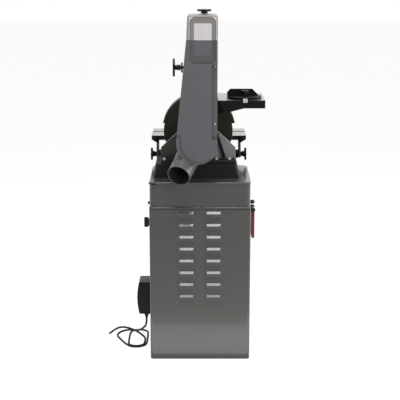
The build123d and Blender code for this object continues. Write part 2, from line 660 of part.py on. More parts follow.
# Tension spring, a plain sleeve round the screw
SPRING_LEN = 42
SPRING_R = 11
with BuildPart() as tension_spring:
    rod_z(IDLER_X, SCREW_Y, CARRIAGE_Z[1], CARRIAGE_Z[1] + SPRING_LEN, SPRING_R)
    rod_z(IDLER_X, SCREW_Y, CARRIAGE_Z[1], CARRIAGE_Z[1] + SPRING_LEN, SCREW_R + 2.5, mode=Mode.SUBTRACT)
save(tension_spring, "tension_spring")

# Tension knob with its screw, through the fork's bridge into the carriage
KNOB_LOW = 1509
KNOB_HIGH = 1526
TENSION_HEAD = (32, 8)
TENSION_HUB = (16, 14)
TENSION_PLANE = Plane((IDLER_X, SCREW_Y, KNOB_LOW))
tension_grip = hand_knob(TENSION_PLANE, KNOB_HIGH - KNOB_LOW, TENSION_HEAD, TENSION_HUB, 6)
with BuildPart() as tension_knob:
    rod_z(IDLER_X, SCREW_Y, SCREW_LOW, KNOB_LOW, SCREW_R)
    add(tension_grip)
save(tension_knob, "tension_knob")

# Tracking knob on the left, with its screw into the carriage
TRACK_PLANE = Plane((TRACK_SEAT, TRACK_Y, TRACK_Z), x_dir=(0, 1, 0), z_dir=(-1, 0, 0))
TRACK_HEAD = (39, 9)
TRACK_HUB = (13, 10)
tracking_grip = hand_knob(TRACK_PLANE, TRACK_REACH, TRACK_HEAD, TRACK_HUB, 6)
with BuildPart() as tracking_knob:
    rod_x(TRACK_SEAT, IDLER_X - 1, TRACK_Y, TRACK_Z, SCREW_R)
    add(tracking_grip)
save(tracking_knob, "tracking_knob")

# Idler yoke: knuckle in the carriage's groove, flange and fixed axle
AXLE_R = 10
with BuildPart() as idler_yoke:
    rod_z(IDLER_X, KNUCKLE_Y, IDLER_Z - 25, IDLER_Z + 25, KNUCKLE_R)
    rod_y(IDLER_X, KNUCKLE_Y - 12, KNUCKLE_Y - 1.5, IDLER_Z, 30)
    rod_y(IDLER_X, BELT_NEAR + 6, KNUCKLE_Y - 2, IDLER_Z, AXLE_R)
save(idler_yoke, "idler_yoke")

# Crowned idler drum on two bearings
IDLER_BORE = 21
IDLER_WEBS = (BELT_NEAR + 16, BELT_FAR - 32)
WEB_W = 14
with BuildPart() as idler_drum:
    half = (BELT_FAR - BELT_NEAR) / 2
    with BuildSketch(Plane((IDLER_X, BELT_FAR - half, IDLER_Z), x_dir=(0, 1, 0), z_dir=(1, 0, 0))):
        with BuildLine():
            Polyline((half, IDLER_R - IDLER_CROWN), (half, 44), (-half, 44), (-half, IDLER_R - IDLER_CROWN))
            ThreePointArc((-half, IDLER_R - IDLER_CROWN), (0, IDLER_R), (half, IDLER_R - IDLER_CROWN))
        make_face()
    revolve(axis=Axis((IDLER_X, BELT_FAR, IDLER_Z), (0, 1, 0)))
    for y0 in IDLER_WEBS:
        rod_y(IDLER_X, y0, y0 + WEB_W, IDLER_Z, 45)
        rod_y(IDLER_X, y0 - 1, y0 + WEB_W + 1, IDLER_Z, IDLER_BORE, mode=Mode.SUBTRACT)
save(idler_drum, "idler_drum")

with BuildPart() as idler_bearings:
    for y0 in IDLER_WEBS:
        rod_y(IDLER_X, y0, y0 + WEB_W, IDLER_Z, IDLER_BORE)
        rod_y(IDLER_X, y0 - 1, y0 + WEB_W + 1, IDLER_Z, AXLE_R + RUN_CLEAR, mode=Mode.SUBTRACT)
save(idler_bearings, "idler_bearings")

# Belt cover: near wall, leaning side and round bottom, open at the working face
RECESS_X = (-43, 66)
RECESS_Z = (1312, 1503)
RECESS_R = 24
RECESS_SIDES = 18
RECESS_LOW = 35
RECESS_HIGH = 26
STRIP_X = 50
STRIP_Z = (994, 1308)
STRIP_DEEP = 25
STRIP_FACE = COVER_NEAR + STRIP_DEEP
SCROLL = (-2, 979.5, 79)
SCROLL_TOP = 1012
SCROLL_RIGHT = 45
PORT_DIR = Vector(*PORT_AXIS).normalized()
PORT_PLANE = Plane(origin=PORT_MOUTH, z_dir=PORT_DIR * -1)


def port_face(depth, r):
    # Round section of the dust port at a depth behind its mouth.
    with BuildSketch(PORT_PLANE.offset(depth)) as face:
        Circle(r)
    return face.sketch


def recess_face(depth):
    # Section of the recess at a depth below the near face.
    share = depth / RELIEF
    side = RECESS_SIDES * share
    low = RECESS_Z[0] + RECESS_LOW * share
    high = RECESS_Z[1] - RECESS_HIGH * share
    with BuildSketch(xz_plane(COVER_NEAR + depth)) as face:
        with Locations((sum(RECESS_X) / 2, (low + high) / 2)):
            RectangleRounded(RECESS_X[1] - RECESS_X[0] - 2 * side, high - low, RECESS_R - side)
    return face.sketch


with BuildPart() as recess_pocket:
    loft([recess_face(-0.5), recess_face(RELIEF)], ruled=True)

with BuildPart() as cover_block:
    extrude(cover_face(xz_plane(ARM_NEAR), 0, COVER_RIGHT, COVER_SPLIT), amount=ARM_NEAR - COVER_NEAR)
    block(STRIP_X, COVER_RIGHT + 1, COVER_NEAR - 1, STRIP_FACE, *STRIP_Z, mode=Mode.SUBTRACT)
    with BuildSketch(xz_plane(COVER_NEAR + RELIEF)):
        with Locations((SCROLL_RIGHT, SCROLL_TOP)):
            Rectangle(2 * COVER_R, 2 * COVER_R, align=(Align.MAX, Align.MAX))
        with Locations(SCROLL[:2]):
            Circle(SCROLL[2], mode=Mode.SUBTRACT)
            Rectangle(2 * SCROLL[2], 2 * COVER_R, align=(Align.CENTER, Align.MIN), mode=Mode.SUBTRACT)
    extrude(amount=RELIEF + 1, mode=Mode.SUBTRACT)

with BuildPart() as belt_cover:
    add(cover_block.part)
    extrude(cover_face(xz_plane(ARM_NEAR), COVER_T, COVER_RIGHT + 9, COVER_SPLIT + 1),
            amount=ARM_NEAR - COVER_NEAR - COVER_FACE, mode=Mode.SUBTRACT)
    block(STRIP_X - COVER_T, COVER_RIGHT, COVER_NEAR + COVER_FACE - 1, STRIP_FACE + COVER_T,
          STRIP_Z[0] - COVER_T, STRIP_Z[1] + COVER_T)
    block(STRIP_X, COVER_RIGHT + 1, COVER_NEAR - 1, STRIP_FACE, *STRIP_Z, mode=Mode.SUBTRACT)
    add(recess_pocket.part, mode=Mode.SUBTRACT)
    loft([port_face(0, PORT_R - PORT_WALL), port_face(PORT_STRAIGHT, PORT_R - PORT_WALL)], mode=Mode.SUBTRACT)
    loft([port_face(PORT_STRAIGHT, PORT_R - PORT_WALL), port_face(PORT_LEN, PORT_ROOT_R - PORT_WALL)],
         mode=Mode.SUBTRACT)
save(belt_cover, "belt_cover")

with BuildPart() as dust_chute:
    loft([port_face(0, PORT_R), port_face(PORT_STRAIGHT, PORT_R)])
    loft([port_face(PORT_STRAIGHT, PORT_R), port_face(PORT_LEN, PORT_ROOT_R)])
    loft([port_face(0, PORT_R - PORT_WALL), port_face(PORT_STRAIGHT, PORT_R - PORT_WALL)], mode=Mode.SUBTRACT)
    loft([port_face(PORT_STRAIGHT, PORT_R - PORT_WALL), port_face(PORT_LEN, PORT_ROOT_R - PORT_WALL)],
         mode=Mode.SUBTRACT)
    loft([port_face(0, PORT_SOCKET_R), port_face(PORT_SOCKET, PORT_SOCKET_R)], mode=Mode.SUBTRACT)
    add(cover_block.part, mode=Mode.SUBTRACT)
save(dust_chute, "dust_chute")

# Idler cover on top of the belt cover
with BuildPart() as idler_cover:
    with BuildSketch(xz_plane(ARM_NEAR)) as idler_outline:
        with BuildLine():
            Polyline((COVER_SPLIT_LEFT, COVER_SPLIT), (COVER_RIGHT, COVER_SPLIT), (COVER_RIGHT, COVER_TOP),
                     (COVER_TOP_LEFT, COVER_TOP), close=True)
        make_face()
        fillet(idler_outline.vertices().group_by(Axis.Z)[-1], radius=COVER_CORNER)
    extrude(amount=ARM_NEAR - COVER_NEAR)
    with BuildSketch(xz_plane(ARM_NEAR)) as idler_hollow:
        with BuildLine():
            Polyline((COVER_SPLIT_LEFT + COVER_T, COVER_SPLIT - 1), (COVER_RIGHT - COVER_T, COVER_SPLIT - 1),
                     (COVER_RIGHT - COVER_T, COVER_TOP - COVER_T),
                     (COVER_TOP_LEFT + COVER_T, COVER_TOP - COVER_T), close=True)
        make_face()
        fillet(idler_hollow.vertices().group_by(Axis.Z)[-1], radius=COVER_CORNER - COVER_T)
    extrude(amount=ARM_NEAR - COVER_NEAR - COVER_FACE, mode=Mode.SUBTRACT)
    add(recess_pocket.part, mode=Mode.SUBTRACT)
save(idler_cover, "idler_cover")

# Screws of the covers
COVER_SCREWS = ((62, 1056), (62, 1301))
COVER_SCREW_R = 4
COVER_SCREW_T = 2.5
with BuildPart() as cover_screws:
    for x, z in COVER_SCREWS:
        rod_y(x, STRIP_FACE - COVER_SCREW_T, STRIP_FACE, z, COVER_SCREW_R)
save(cover_screws, "cover_screws")

# Table bracket on the far side of the arm, with the belt table's pivot pin
PIVOT_X, PIVOT_Z = BTABLE_PIVOT
LOCK_SWEEP = 45.2
LOCK_X = PIVOT_X + LOCK_SWEEP * cos(radians(-80))
LOCK_Z = PIVOT_Z + LOCK_SWEEP * sin(radians(-80))
BRACKET_Y = (ARM_FAR, ARM_FAR + 12)
LUG_Y = (BRACKET_Y[1] + 0.5, BRACKET_Y[1] + 12.5)
PIN_R = 5
LOCK_R = 4
with BuildPart() as table_bracket:
    with BuildSketch(xz_plane(BRACKET_Y[1])):
        with Locations((PIVOT_X, PIVOT_Z)):
            Circle(7.5)
        with Locations((LOCK_X, LOCK_Z)):
            Circle(15)
        with Locations((35, 1100)):
            Rectangle(40, 50)
        make_hull()
    extrude(amount=BRACKET_Y[1] - BRACKET_Y[0])
    rod_y(PIVOT_X, BRACKET_Y[0], LUG_Y[1] + 2, PIVOT_Z, PIN_R)
    rod_y(LOCK_X, BRACKET_Y[0] - 1, BRACKET_Y[1] + 1, LOCK_Z, LOCK_R + RUN_CLEAR, mode=Mode.SUBTRACT)
save(table_bracket, "table_bracket")

# Belt table: plate with skirts, a miter slot and a slotted lug on the bracket's pin
BT_X0, BT_X1, BT_Y0, BT_Y1 = BTABLE
BT_UNDER = BTABLE_TOP - BTABLE_PLATE
BT_LOW = BTABLE_TOP - BTABLE_DEEP
SKIRT = 9
WEB_LOW = BT_LOW - 14
LUG_R = LOCK_SWEEP + 12


def lug_point(angle):
    # Point on the round foot of the table's lug.
    return (PIVOT_X + LUG_R * cos(radians(angle)), PIVOT_Z + LUG_R * sin(radians(angle)))


with BuildPart() as belt_table:
    with BuildSketch(xz_plane(BT_Y1)):
        with BuildLine():
            Polyline((BT_X0, BTABLE_TOP), (BT_X1, BTABLE_TOP), (BT_X1, BT_UNDER), (BT_X0 + 10, BT_UNDER),
                     (BT_X0, BTABLE_TOP - 3), close=True)
        make_face()
    extrude(amount=BT_Y1 - BT_Y0)
    block(BT_X1 - SKIRT, BT_X1, BT_Y0, BT_Y1, BT_LOW, BT_UNDER)
    block(BT_X0 + 60, BT_X1, BT_Y1 - SKIRT, BT_Y1, BT_LOW, BT_UNDER)
    with BuildSketch(xz_plane(BT_Y0 + SKIRT)):
        with BuildLine():
            Polyline((BT_X0 + 10, BT_UNDER), (BT_X1, BT_UNDER), (BT_X1, BT_LOW), (185, BT_LOW),
                     (131, WEB_LOW), (102, WEB_LOW), close=True)
        make_face()
    extrude(amount=SKIRT)
    with BuildSketch(xz_plane(LUG_Y[1])):
        with BuildLine():
            Polyline(lug_point(-24), (lug_point(-24)[0], BT_UNDER), (PIVOT_X - 10, BT_UNDER),
                     (PIVOT_X - 10, PIVOT_Z - 4), lug_point(-97))
            ThreePointArc(lug_point(-97), lug_point(-60), lug_point(-24))
        make_face()
        with Locations((PIVOT_X, PIVOT_Z)):
            SlotArc(Edge.make_circle(LOCK_SWEEP, start_angle=-82, end_angle=-33), 2 * LOCK_R + 1.2,
                    mode=Mode.SUBTRACT)
            Circle(PIN_R + RUN_CLEAR, mode=Mode.SUBTRACT)
    extrude(amount=LUG_Y[1] - LUG_Y[0])
    block(MITER_X - SLOT_W / 2, MITER_X + SLOT_W / 2, BT_Y0 - 1, BT_Y1 + 1,
          BTABLE_TOP - SLOT_DEEP, BTABLE_TOP + 1, mode=Mode.SUBTRACT)
save(belt_table, "belt_table")

LOCK_PLANE = Plane((LOCK_X, LUG_Y[1] + 0.5, LOCK_Z), x_dir=(1, 0, 0), z_dir=(0, 1, 0))
LOCK_REACH = 25
LOCK_HEAD = (22, 8)
LOCK_HUB = (9, 13)
lock_grip = hand_knob(LOCK_PLANE, LOCK_REACH, LOCK_HEAD, LOCK_HUB, 6)
with BuildPart() as table_lock_knob:
    rod_y(LOCK_X, BRACKET_Y[0] + 0.5, LUG_Y[1] + 14, LOCK_Z, LOCK_R)
    add(lock_grip)
save(table_lock_knob, "table_lock_knob")

# Miter gauge: bar in the table's slot, head with a fence, knob on the pivot
BAR_Z = (BTABLE_TOP - SLOT_DEEP + 0.4, BTABLE_TOP - 0.4)
BAR_Y = (BT_Y0 - 5, BT_Y0 + 295)
HEAD_Z = BTABLE_TOP + 0.6
HEAD_T = 10
HEAD_R = 71
FENCE_X = (116, 257)
FENCE_Y = (MITER_Y + 18, MITER_Y + 27)
FENCE_TOP = 1195
STEM_R = 4
BAR_STOP = 1165
with BuildPart() as miter_bar:
    block(MITER_X - SLOT_W / 2 + 0.2, MITER_X + SLOT_W / 2 - 0.2, *BAR_Y, *BAR_Z)
    block(MITER_X - SLOT_W / 2 + 0.2, MITER_X + SLOT_W / 2 - 0.2, BAR_Y[0], BAR_Y[0] + 4, BAR_Z[0], BAR_STOP)
    rod_z(MITER_X, MITER_Y, BAR_Z[0] - 1, BAR_Z[1] + 1, STEM_R + RUN_CLEAR, mode=Mode.SUBTRACT)
save(miter_bar, "miter_bar")

with BuildPart() as miter_head:
    with BuildSketch(Plane.XY.offset(HEAD_Z)):
        with Locations((MITER_X, MITER_Y)):
            Circle(HEAD_R)
            with Locations((0, FENCE_Y[1] - MITER_Y)):
                Rectangle(3 * HEAD_R, 2 * HEAD_R, align=(Align.CENTER, Align.MIN), mode=Mode.SUBTRACT)
    extrude(amount=HEAD_T)
    with BuildSketch(xz_plane(FENCE_Y[1])):
        with BuildLine():
            Polyline((FENCE_X[0], HEAD_Z), (FENCE_X[1], HEAD_Z), (FENCE_X[1], HEAD_Z + 3),
                     (FENCE_X[1] - 33, FENCE_TOP), (FENCE_X[0] + 13, FENCE_TOP), (FENCE_X[0], FENCE_TOP - 14),
                     close=True)
        make_face()
    extrude(amount=FENCE_Y[1] - FENCE_Y[0])
    rod_z(MITER_X, MITER_Y, HEAD_Z - 1, HEAD_Z + HEAD_T + 1, STEM_R + RUN_CLEAR, mode=Mode.SUBTRACT)
save(miter_head, "miter_head")

with BuildPart() as miter_knob:
    rod_z(MITER_X, MITER_Y, BAR_Z[0] + 1, HEAD_Z + HEAD_T + 10, STEM_R)
    rod_z(MITER_X, MITER_Y, HEAD_Z + HEAD_T + 0.5, HEAD_Z + HEAD_T + 15, 7)
    rod_z(MITER_X, MITER_Y, HEAD_Z + HEAD_T + 14, HEAD_Z + HEAD_T + 24, 16.5)
    fillet(miter_knob.faces().sort_by(Axis.Z)[-1].edges(), radius=4)
save(miter_knob, "miter_knob")

# Disc table: plate with skirts, a miter slot along X and a bevel beside the disc
DT_X0, DT_X1, DT_Y0, DT_Y1 = DTABLE
DT_UNDER = DTABLE_TOP - DTABLE_PLATE
DT_LOW = DTABLE_TOP - DTABLE_DEEP
with BuildPart() as disc_table:
    with BuildSketch(Plane.YZ.offset(DT_X0)):
        with BuildLine():
            Polyline((DT_Y0, DTABLE_TOP), (DT_Y1, DTABLE_TOP), (DT_Y1, DT_LOW), (DT_Y0 + 23, DT_LOW),
                     (DT_Y0, DTABLE_TOP - 2), close=True)
        make_face()
    extrude(amount=DT_X1 - DT_X0)
    block(DT_X0 + SKIRT, DT_X1 - SKIRT, DT_Y0 + 36, DT_Y1 - SKIRT, DT_LOW - 1, DT_UNDER, mode=Mode.SUBTRACT)
    block(DT_X0 - 1, DT_X1 + 1, DTABLE_SLOT_Y - SLOT_W / 2, DTABLE_SLOT_Y + SLOT_W / 2,
          DTABLE_TOP - SLOT_DEEP, DTABLE_TOP + 1, mode=Mode.SUBTRACT)
save(disc_table, "disc_table")

# Trunnions under the disc table, slotted about the tilt axis, and the brackets that they clamp to
PLATE_T = 10
FAN_R = STUD_R + 16
STUD_HOLE = 5.5
GUSSET_X = 31
GUSSET_Y = (25, 40)
GUSSET_DEEP = 14
STUD_Z = DTABLE_TOP - STUD_R


def fan_point(angle):
    # Point on the round foot of a trunnion.
    return (TILT_Y + FAN_R * cos(radians(angle)), DTABLE_TOP + FAN_R * sin(radians(angle)))


with BuildPart() as table_trunnions:
    for bracket_x, side in zip(STUD_X, (-1, 1)):
        outer = bracket_x + side * (PLATE_T / 2 + 1)
        with BuildSketch(Plane.YZ.offset(min(outer, outer + side * PLATE_T))):
            with BuildLine():
                Polyline(fan_point(-38), (fan_point(-38)[0], DT_LOW), (DT_Y0 + 24, DT_LOW), fan_point(-114))
                ThreePointArc(fan_point(-114), fan_point(-76), fan_point(-38))
            make_face()
            with Locations((TILT_Y, DTABLE_TOP)):
                SlotArc(Edge.make_circle(STUD_R, start_angle=-106, end_angle=-44), 2 * STUD_HOLE + 1.6,
                        mode=Mode.SUBTRACT)
        extrude(amount=PLATE_T)
        with BuildSketch(xz_plane(DT_Y0 + GUSSET_Y[1])):
            with BuildLine():
                Polyline((outer + side * (PLATE_T - 2), DT_LOW), (outer + side * GUSSET_X, DT_LOW),
                         (outer + side * (PLATE_T - 2), DT_LOW - GUSSET_DEEP), close=True)
            make_face()
        extrude(amount=GUSSET_Y[1] - GUSSET_Y[0])
save(table_trunnions, "table_trunnions")

BRACKET_FACE = BASE_LOW[3]
BRACKET_Z = (808, 858)
BRACKET_FLANGE = 28
BRACKET_IN = 24
BRACKET_HUB = 20
with BuildPart() as trunnion_brackets:
    for x, side in zip(STUD_X, (-1, 1)):
        inner = x - side * BRACKET_IN
        with BuildSketch(Plane.YZ.offset(inner - PLATE_T / 2)):
            with Locations((TILT_Y, STUD_Z)):
                Circle(BRACKET_HUB)
            with Locations((BRACKET_FACE, BRACKET_Z[0])):
                Rectangle(30, BRACKET_Z[1] - BRACKET_Z[0], align=(Align.MIN, Align.MIN))
            make_hull()
        extrude(amount=PLATE_T)
        hub = sorted((inner - side * PLATE_T / 2, x + side * PLATE_T / 2))
        rod_x(*hub, TILT_Y, STUD_Z, BRACKET_HUB)
        rod_x(*hub, TILT_Y, STUD_Z, STUD_HOLE + RUN_CLEAR, mode=Mode.SUBTRACT)
        flange = sorted((inner - side * (PLATE_T / 2 + BRACKET_FLANGE), inner))
        block(*flange, BRACKET_FACE, BRACKET_FACE + PLATE_T, *BRACKET_Z)
save(trunnion_brackets, "trunnion_brackets")


TILT_KNOB_REACH = 26
TILT_KNOB_HEAD = (29, 9)
TILT_KNOB_HUB = (10, 15)


def trunnion_knob(bracket_x, side):
    # Lock knob with its stud, along X through the bracket and the trunnion's slot.
    start = bracket_x - side * PLATE_T / 2
    seat = bracket_x + side * (PLATE_T / 2 + 1 + PLATE_T + 0.5)
    plane = Plane((seat, TILT_Y, STUD_Z), x_dir=(0, 1, 0), z_dir=(side, 0, 0))
    grip = hand_knob(plane, TILT_KNOB_REACH, TILT_KNOB_HEAD, TILT_KNOB_HUB, 5)
    with BuildPart() as knob:
        rod_x(*sorted((start, seat + side * 11)), TILT_Y, STUD_Z, STUD_HOLE)
        add(grip)
    return knob


trunnion_knob_left = trunnion_knob(STUD_X[0], -1)
save(trunnion_knob_left, "trunnion_knob_left")
trunnion_knob_right = trunnion_knob(STUD_X[1], 1)
save(trunnion_knob_right, "trunnion_knob_right")

# Tilt lever that clamps the bed, on a pin in the near face of the pedestal
LEVER_LOW = (105, 886)
LEVER_HIGH = (71, 990)
LEVER_Y = (PED_NEAR - 11, PED_NEAR - 0.5)
with BuildPart() as tilt_lever:
    with BuildSketch(xz_plane(LEVER_Y[1] - 2)):
        with Locations(LEVER_LOW):
            Circle(7)
        with Locations(LEVER_HIGH):
            Circle(5)
        make_hull()
    extrude(amount=LEVER_Y[1] - LEVER_Y[0] - 4)
    rod_y(LEVER_LOW[0], *LEVER_Y, LEVER_LOW[1], 6)
save(tilt_lever, "tilt_lever")

# Switch box on the front face, with a start button and a hinged stop paddle
SWITCH_X = CAB_W / 2
SWITCH_OUT = SWITCH_X + 6
SWITCH_Y = 36
SWITCH_Z = (496, 684)
BUTTON_Z = 672
BUTTON_R = 8
BUTTON_DOME = 10
PADDLE_PIN_X = SWITCH_X + 19
PADDLE_PIN_Z = 642
PADDLE_Y = 29
PADDLE_Z = (511, 636)
PADDLE_T = 4
EAR_R = 9
with BuildPart() as switch_box:
    block(SWITCH_X, SWITCH_OUT, -SWITCH_Y, SWITCH_Y, *SWITCH_Z)
    fillet(switch_box.edges().filter_by(Axis.X), radius=8)
    for y0, y1 in ((-SWITCH_Y, -PADDLE_Y - 0.5), (PADDLE_Y + 0.5, SWITCH_Y)):
        block(SWITCH_OUT, PADDLE_PIN_X, y0, y1, PADDLE_PIN_Z - EAR_R, PADDLE_PIN_Z + EAR_R)
        rod_y(PADDLE_PIN_X, y0, y1, PADDLE_PIN_Z, EAR_R)
    rod_y(PADDLE_PIN_X, -SWITCH_Y - 1, SWITCH_Y + 1, PADDLE_PIN_Z, 3 + RUN_CLEAR, mode=Mode.SUBTRACT)
    rod_x(SWITCH_X + 1, SWITCH_OUT + 1, 0, BUTTON_Z, BUTTON_R + RUN_CLEAR, mode=Mode.SUBTRACT)
save(switch_box, "switch_box")

with BuildPart() as start_button:
    rod_x(SWITCH_OUT - 1, SWITCH_OUT + BUTTON_DOME, 0, BUTTON_Z, BUTTON_R)
    with Locations((SWITCH_OUT + BUTTON_DOME + 1, 0, BUTTON_Z)):
        Sphere(BUTTON_DOME)
save(start_button, "start_button")

# The paddle is a shallow red cup: outer plate, two cheeks and a foot
PADDLE_FACE = PADDLE_PIN_X + 6
PADDLE_BACK = PADDLE_PIN_X - 11
with BuildPart() as stop_paddle:
    rod_y(PADDLE_PIN_X, -PADDLE_Y, PADDLE_Y, PADDLE_PIN_Z, 6)
    block(PADDLE_FACE - PADDLE_T, PADDLE_FACE, -PADDLE_Y, PADDLE_Y, *PADDLE_Z)
    block(PADDLE_PIN_X - 1, PADDLE_FACE - 2, -PADDLE_Y, PADDLE_Y, PADDLE_Z[1] - 1, PADDLE_PIN_Z)
    block(PADDLE_BACK + 4, PADDLE_FACE - 1, -PADDLE_Y, PADDLE_Y, PADDLE_Z[0], PADDLE_Z[0] + PADDLE_T)
    for y in (-PADDLE_Y + PADDLE_T, PADDLE_Y):
        with BuildSketch(xz_plane(y)):
            with BuildLine():
                Polyline((PADDLE_FACE - 1, PADDLE_Z[1]), (PADDLE_FACE - 1, PADDLE_Z[0]),
                         (PADDLE_BACK + 4, PADDLE_Z[0]), (PADDLE_BACK, PADDLE_Z[1] - 36),
                         (PADDLE_BACK, PADDLE_Z[1]), close=True)
            make_face()
        extrude(amount=PADDLE_T)
    rod_y(PADDLE_PIN_X, -SWITCH_Y + 1, SWITCH_Y - 1, PADDLE_PIN_Z, 3)
save(stop_paddle, "stop_paddle")

# Motor starter on the rear face: back plate, bulged cover and cord gland
ST_X0, ST_X1, ST_Y0, ST_Y1, ST_Z0, ST_Z1 = STARTER
GLAND_X, GLAND_Y = GLAND
GLAND_LOW = ST_Z0 - 25
GLAND_R = 8
GLAND_NUT = 9
ST_BULGE = 9
ST_WALL = 3
with BuildPart() as starter_plate:
    block(ST_X1, -CAB_W / 2, ST_Y0 - 5, ST_Y1 + 5, ST_Z0 - 6, ST_Z1 + 12)
save(starter_plate, "starter_plate")


def starter_face(inset):
    # Bulged side view of the starter cover, drawn in by the inset.
    top = (ST_X0 + ST_BULGE + inset, ST_Z1 - inset)
    low = (ST_X0 + ST_BULGE + inset, ST_Z0 + inset)
    with BuildSketch(xz_plane(ST_Y1 - inset)) as face:
        with BuildLine():
            Polyline(top, (ST_X1, ST_Z1 - inset), (ST_X1, ST_Z0 + inset), low)
            ThreePointArc(low, (ST_X0 + inset, (ST_Z0 + ST_Z1) / 2), top)
        make_face()
    return face.sketch


with BuildPart() as starter_cover:
    extrude(starter_face(0), amount=ST_Y1 - ST_Y0)
    fillet(starter_cover.edges().filter_by(Axis.Y).group_by(Axis.X)[0], radius=6)
    extrude(starter_face(ST_WALL), amount=ST_Y1 - ST_Y0 - 2 * ST_WALL, mode=Mode.SUBTRACT)
    rod_z(GLAND_X, GLAND_Y, ST_Z0 - 1, ST_Z0 + ST_WALL + 1, GLAND_R, mode=Mode.SUBTRACT)
save(starter_cover, "starter_cover")

with BuildPart() as cord_gland:
    rod_z(GLAND_X, GLAND_Y, ST_Z0 - 1, ST_Z0 + GLAND_NUT, GLAND_R)
    with BuildSketch(Plane.XY.offset(ST_Z0 - GLAND_NUT)):
        with Locations((GLAND_X, GLAND_Y)):
            RegularPolygon(GLAND_R + 3, 6)
    extrude(amount=GLAND_NUT)
    with Locations((GLAND_X, GLAND_Y, (GLAND_LOW + ST_Z0 - GLAND_NUT) / 2)):
        Cone(CORD_R + 1.5, GLAND_R + 1, ST_Z0 - GLAND_NUT - GLAND_LOW)
save(cord_gland, "cord_gland")

# Small fixed screws: starter plate, switch box and the left side of the cap
CAP_SCREW_Z = 702
CAP_SCREW_R = 7
with BuildPart() as fixed_screws:
    for y in (ST_Y0 + 12, ST_Y1 - 12):
        rod_x(ST_X1 - 3, ST_X1, y, ST_Z1 + 6, 4)
    for y in (-PADDLE_Y + 3, PADDLE_Y - 3):
        rod_x(SWITCH_OUT, SWITCH_OUT + 2.5, y, SWITCH_Z[0] + 10, 3.5)
    for y in (-150, 150):
        rod_x(-CAP_W / 2 - CAP_SCREW_R, -CAP_W / 2 + CAP_STEP, y, CAP_SCREW_Z, CAP_SCREW_R)
save(fixed_screws, "fixed_screws")

# Mains cord: a free run from the gland, a flat coil on the floor and a loose tail over it
CORD_Z = CORD_R
COIL_X = -293.5
COIL_NEAR = -18.5
COIL_FAR = 116
COIL_R = 47
COIL_STEP = 9.8
COIL_TURNS = 2
COIL_ENTRY = 210
COIL_END = 20
ENTRY_DIR = Vector(-sin(radians(COIL_ENTRY)), cos(radians(COIL_ENTRY)))
ENTRY_SIDE = Vector(ENTRY_DIR.Y, -ENTRY_DIR.X)
COIL_START = Vector(COIL_X, COIL_NEAR, CORD_Z) + ENTRY_SIDE * COIL_R - ENTRY_DIR * 2 * CORD_R
COIL_LEAVE = Vector(COIL_X + COIL_R - COIL_STEP * (COIL_TURNS - 1), COIL_END, CORD_Z)
LAST_RUN = 34
CORD_ROUTE = [
    (GLAND_X, GLAND_Y, GLAND_LOW), (GLAND_X, GLAND_Y, 121), (-257, -68, 98), (-270, -24, 75),
    (-282, 20, 54.5), (-294, 60, 38.5), (-307, 90, 27.5), (-319.9, 114.6, 21), (-344.3, 125.9, 16),
    (-370.4, 120.3, 11.5), (-387.9, 100.1, 8), (-390, 73, 5.4), (-376, 41, 4.6),
    tuple(COIL_START - ENTRY_DIR * LAST_RUN), tuple(COIL_START),
]
TAIL_ROUTE = [
    tuple(COIL_LEAVE), (COIL_LEAVE.X, 46, 4.5), (-266.5, 71, 5), (-283, 96, 9), (-304, 117, 14.5),
    (-329, 136, 18), (-355, 149, 20.3), (-381, 154, 20), (-404, 146.5, 12.5), (-419, 129.5, 6.5),
    (-430, 109.5, 4.5),
]


def route_wire(points):
    # Straight runs joined by arcs as large as the shorter run of each corner allows.
    corners = [Vector(*point) for point in points]
    radii = []
    for before, here, after in zip(corners, corners[1:], corners[2:]):
        shorter = min((here - before).length, (after - here).length)
        turn = (here - before).get_angle(after - here)
        radii.append(0.45 * shorter / tan(radians(turn / 2)))
    print("cord radii", [round(radius) for radius in radii])
    with BuildLine() as line:
        FilletPolyline(*points, radius=radii)
    return line.wire()


def cord_tube(wire):
    # Round tube along a wire, checked against its section times its length.
    with BuildPart() as tube:
        with BuildSketch(Plane(origin=wire @ 0, z_dir=wire % 0)):
            Circle(CORD_R)
        sweep(path=wire)
    fill = tube.part.volume / (pi * CORD_R ** 2 * wire.length)
    print("cord length", round(wire.length), "fill", round(fill, 4))
    return tube


# The coil spirals in: half turns about one near centre and one far centre, joined by straight sides
with BuildLine() as coil_line:
    Line(COIL_START, COIL_START + ENTRY_DIR * 2 * CORD_R)
    for turn in range(COIL_TURNS):
        near_r = COIL_R - COIL_STEP * turn
        near_start = COIL_ENTRY if turn == 0 else 180
        near = Plane((COIL_X, COIL_NEAR, CORD_Z))
        add(Edge.make_circle(near_r, near, start_angle=near_start, end_angle=360))
        right_x = COIL_X + near_r
        if turn == COIL_TURNS - 1:
            Line((right_x, COIL_NEAR, CORD_Z), COIL_LEAVE)
        else:
            far_r = near_r - COIL_STEP / 2
            far = Plane((COIL_X + COIL_STEP / 2, COIL_FAR, CORD_Z))
            Line((right_x, COIL_NEAR, CORD_Z), (right_x, COIL_FAR, CORD_Z))
            add(Edge.make_circle(far_r, far, start_angle=0, end_angle=180))
            left_x = right_x - 2 * far_r
            Line((left_x, COIL_FAR, CORD_Z), (left_x, COIL_NEAR, CORD_Z))
coil_wire = coil_line.wire()
cord_coil = cord_tube(coil_wire)
save(cord_coil, "cord_coil")

power_wire = route_wire(CORD_ROUTE)
power_cord = cord_tube(power_wire)
save(power_cord, "power_cord")

tail_wire = route_wire(TAIL_ROUTE)
cord_tail = cord_tube(tail_wire)
save(cord_tail, "cord_tail")

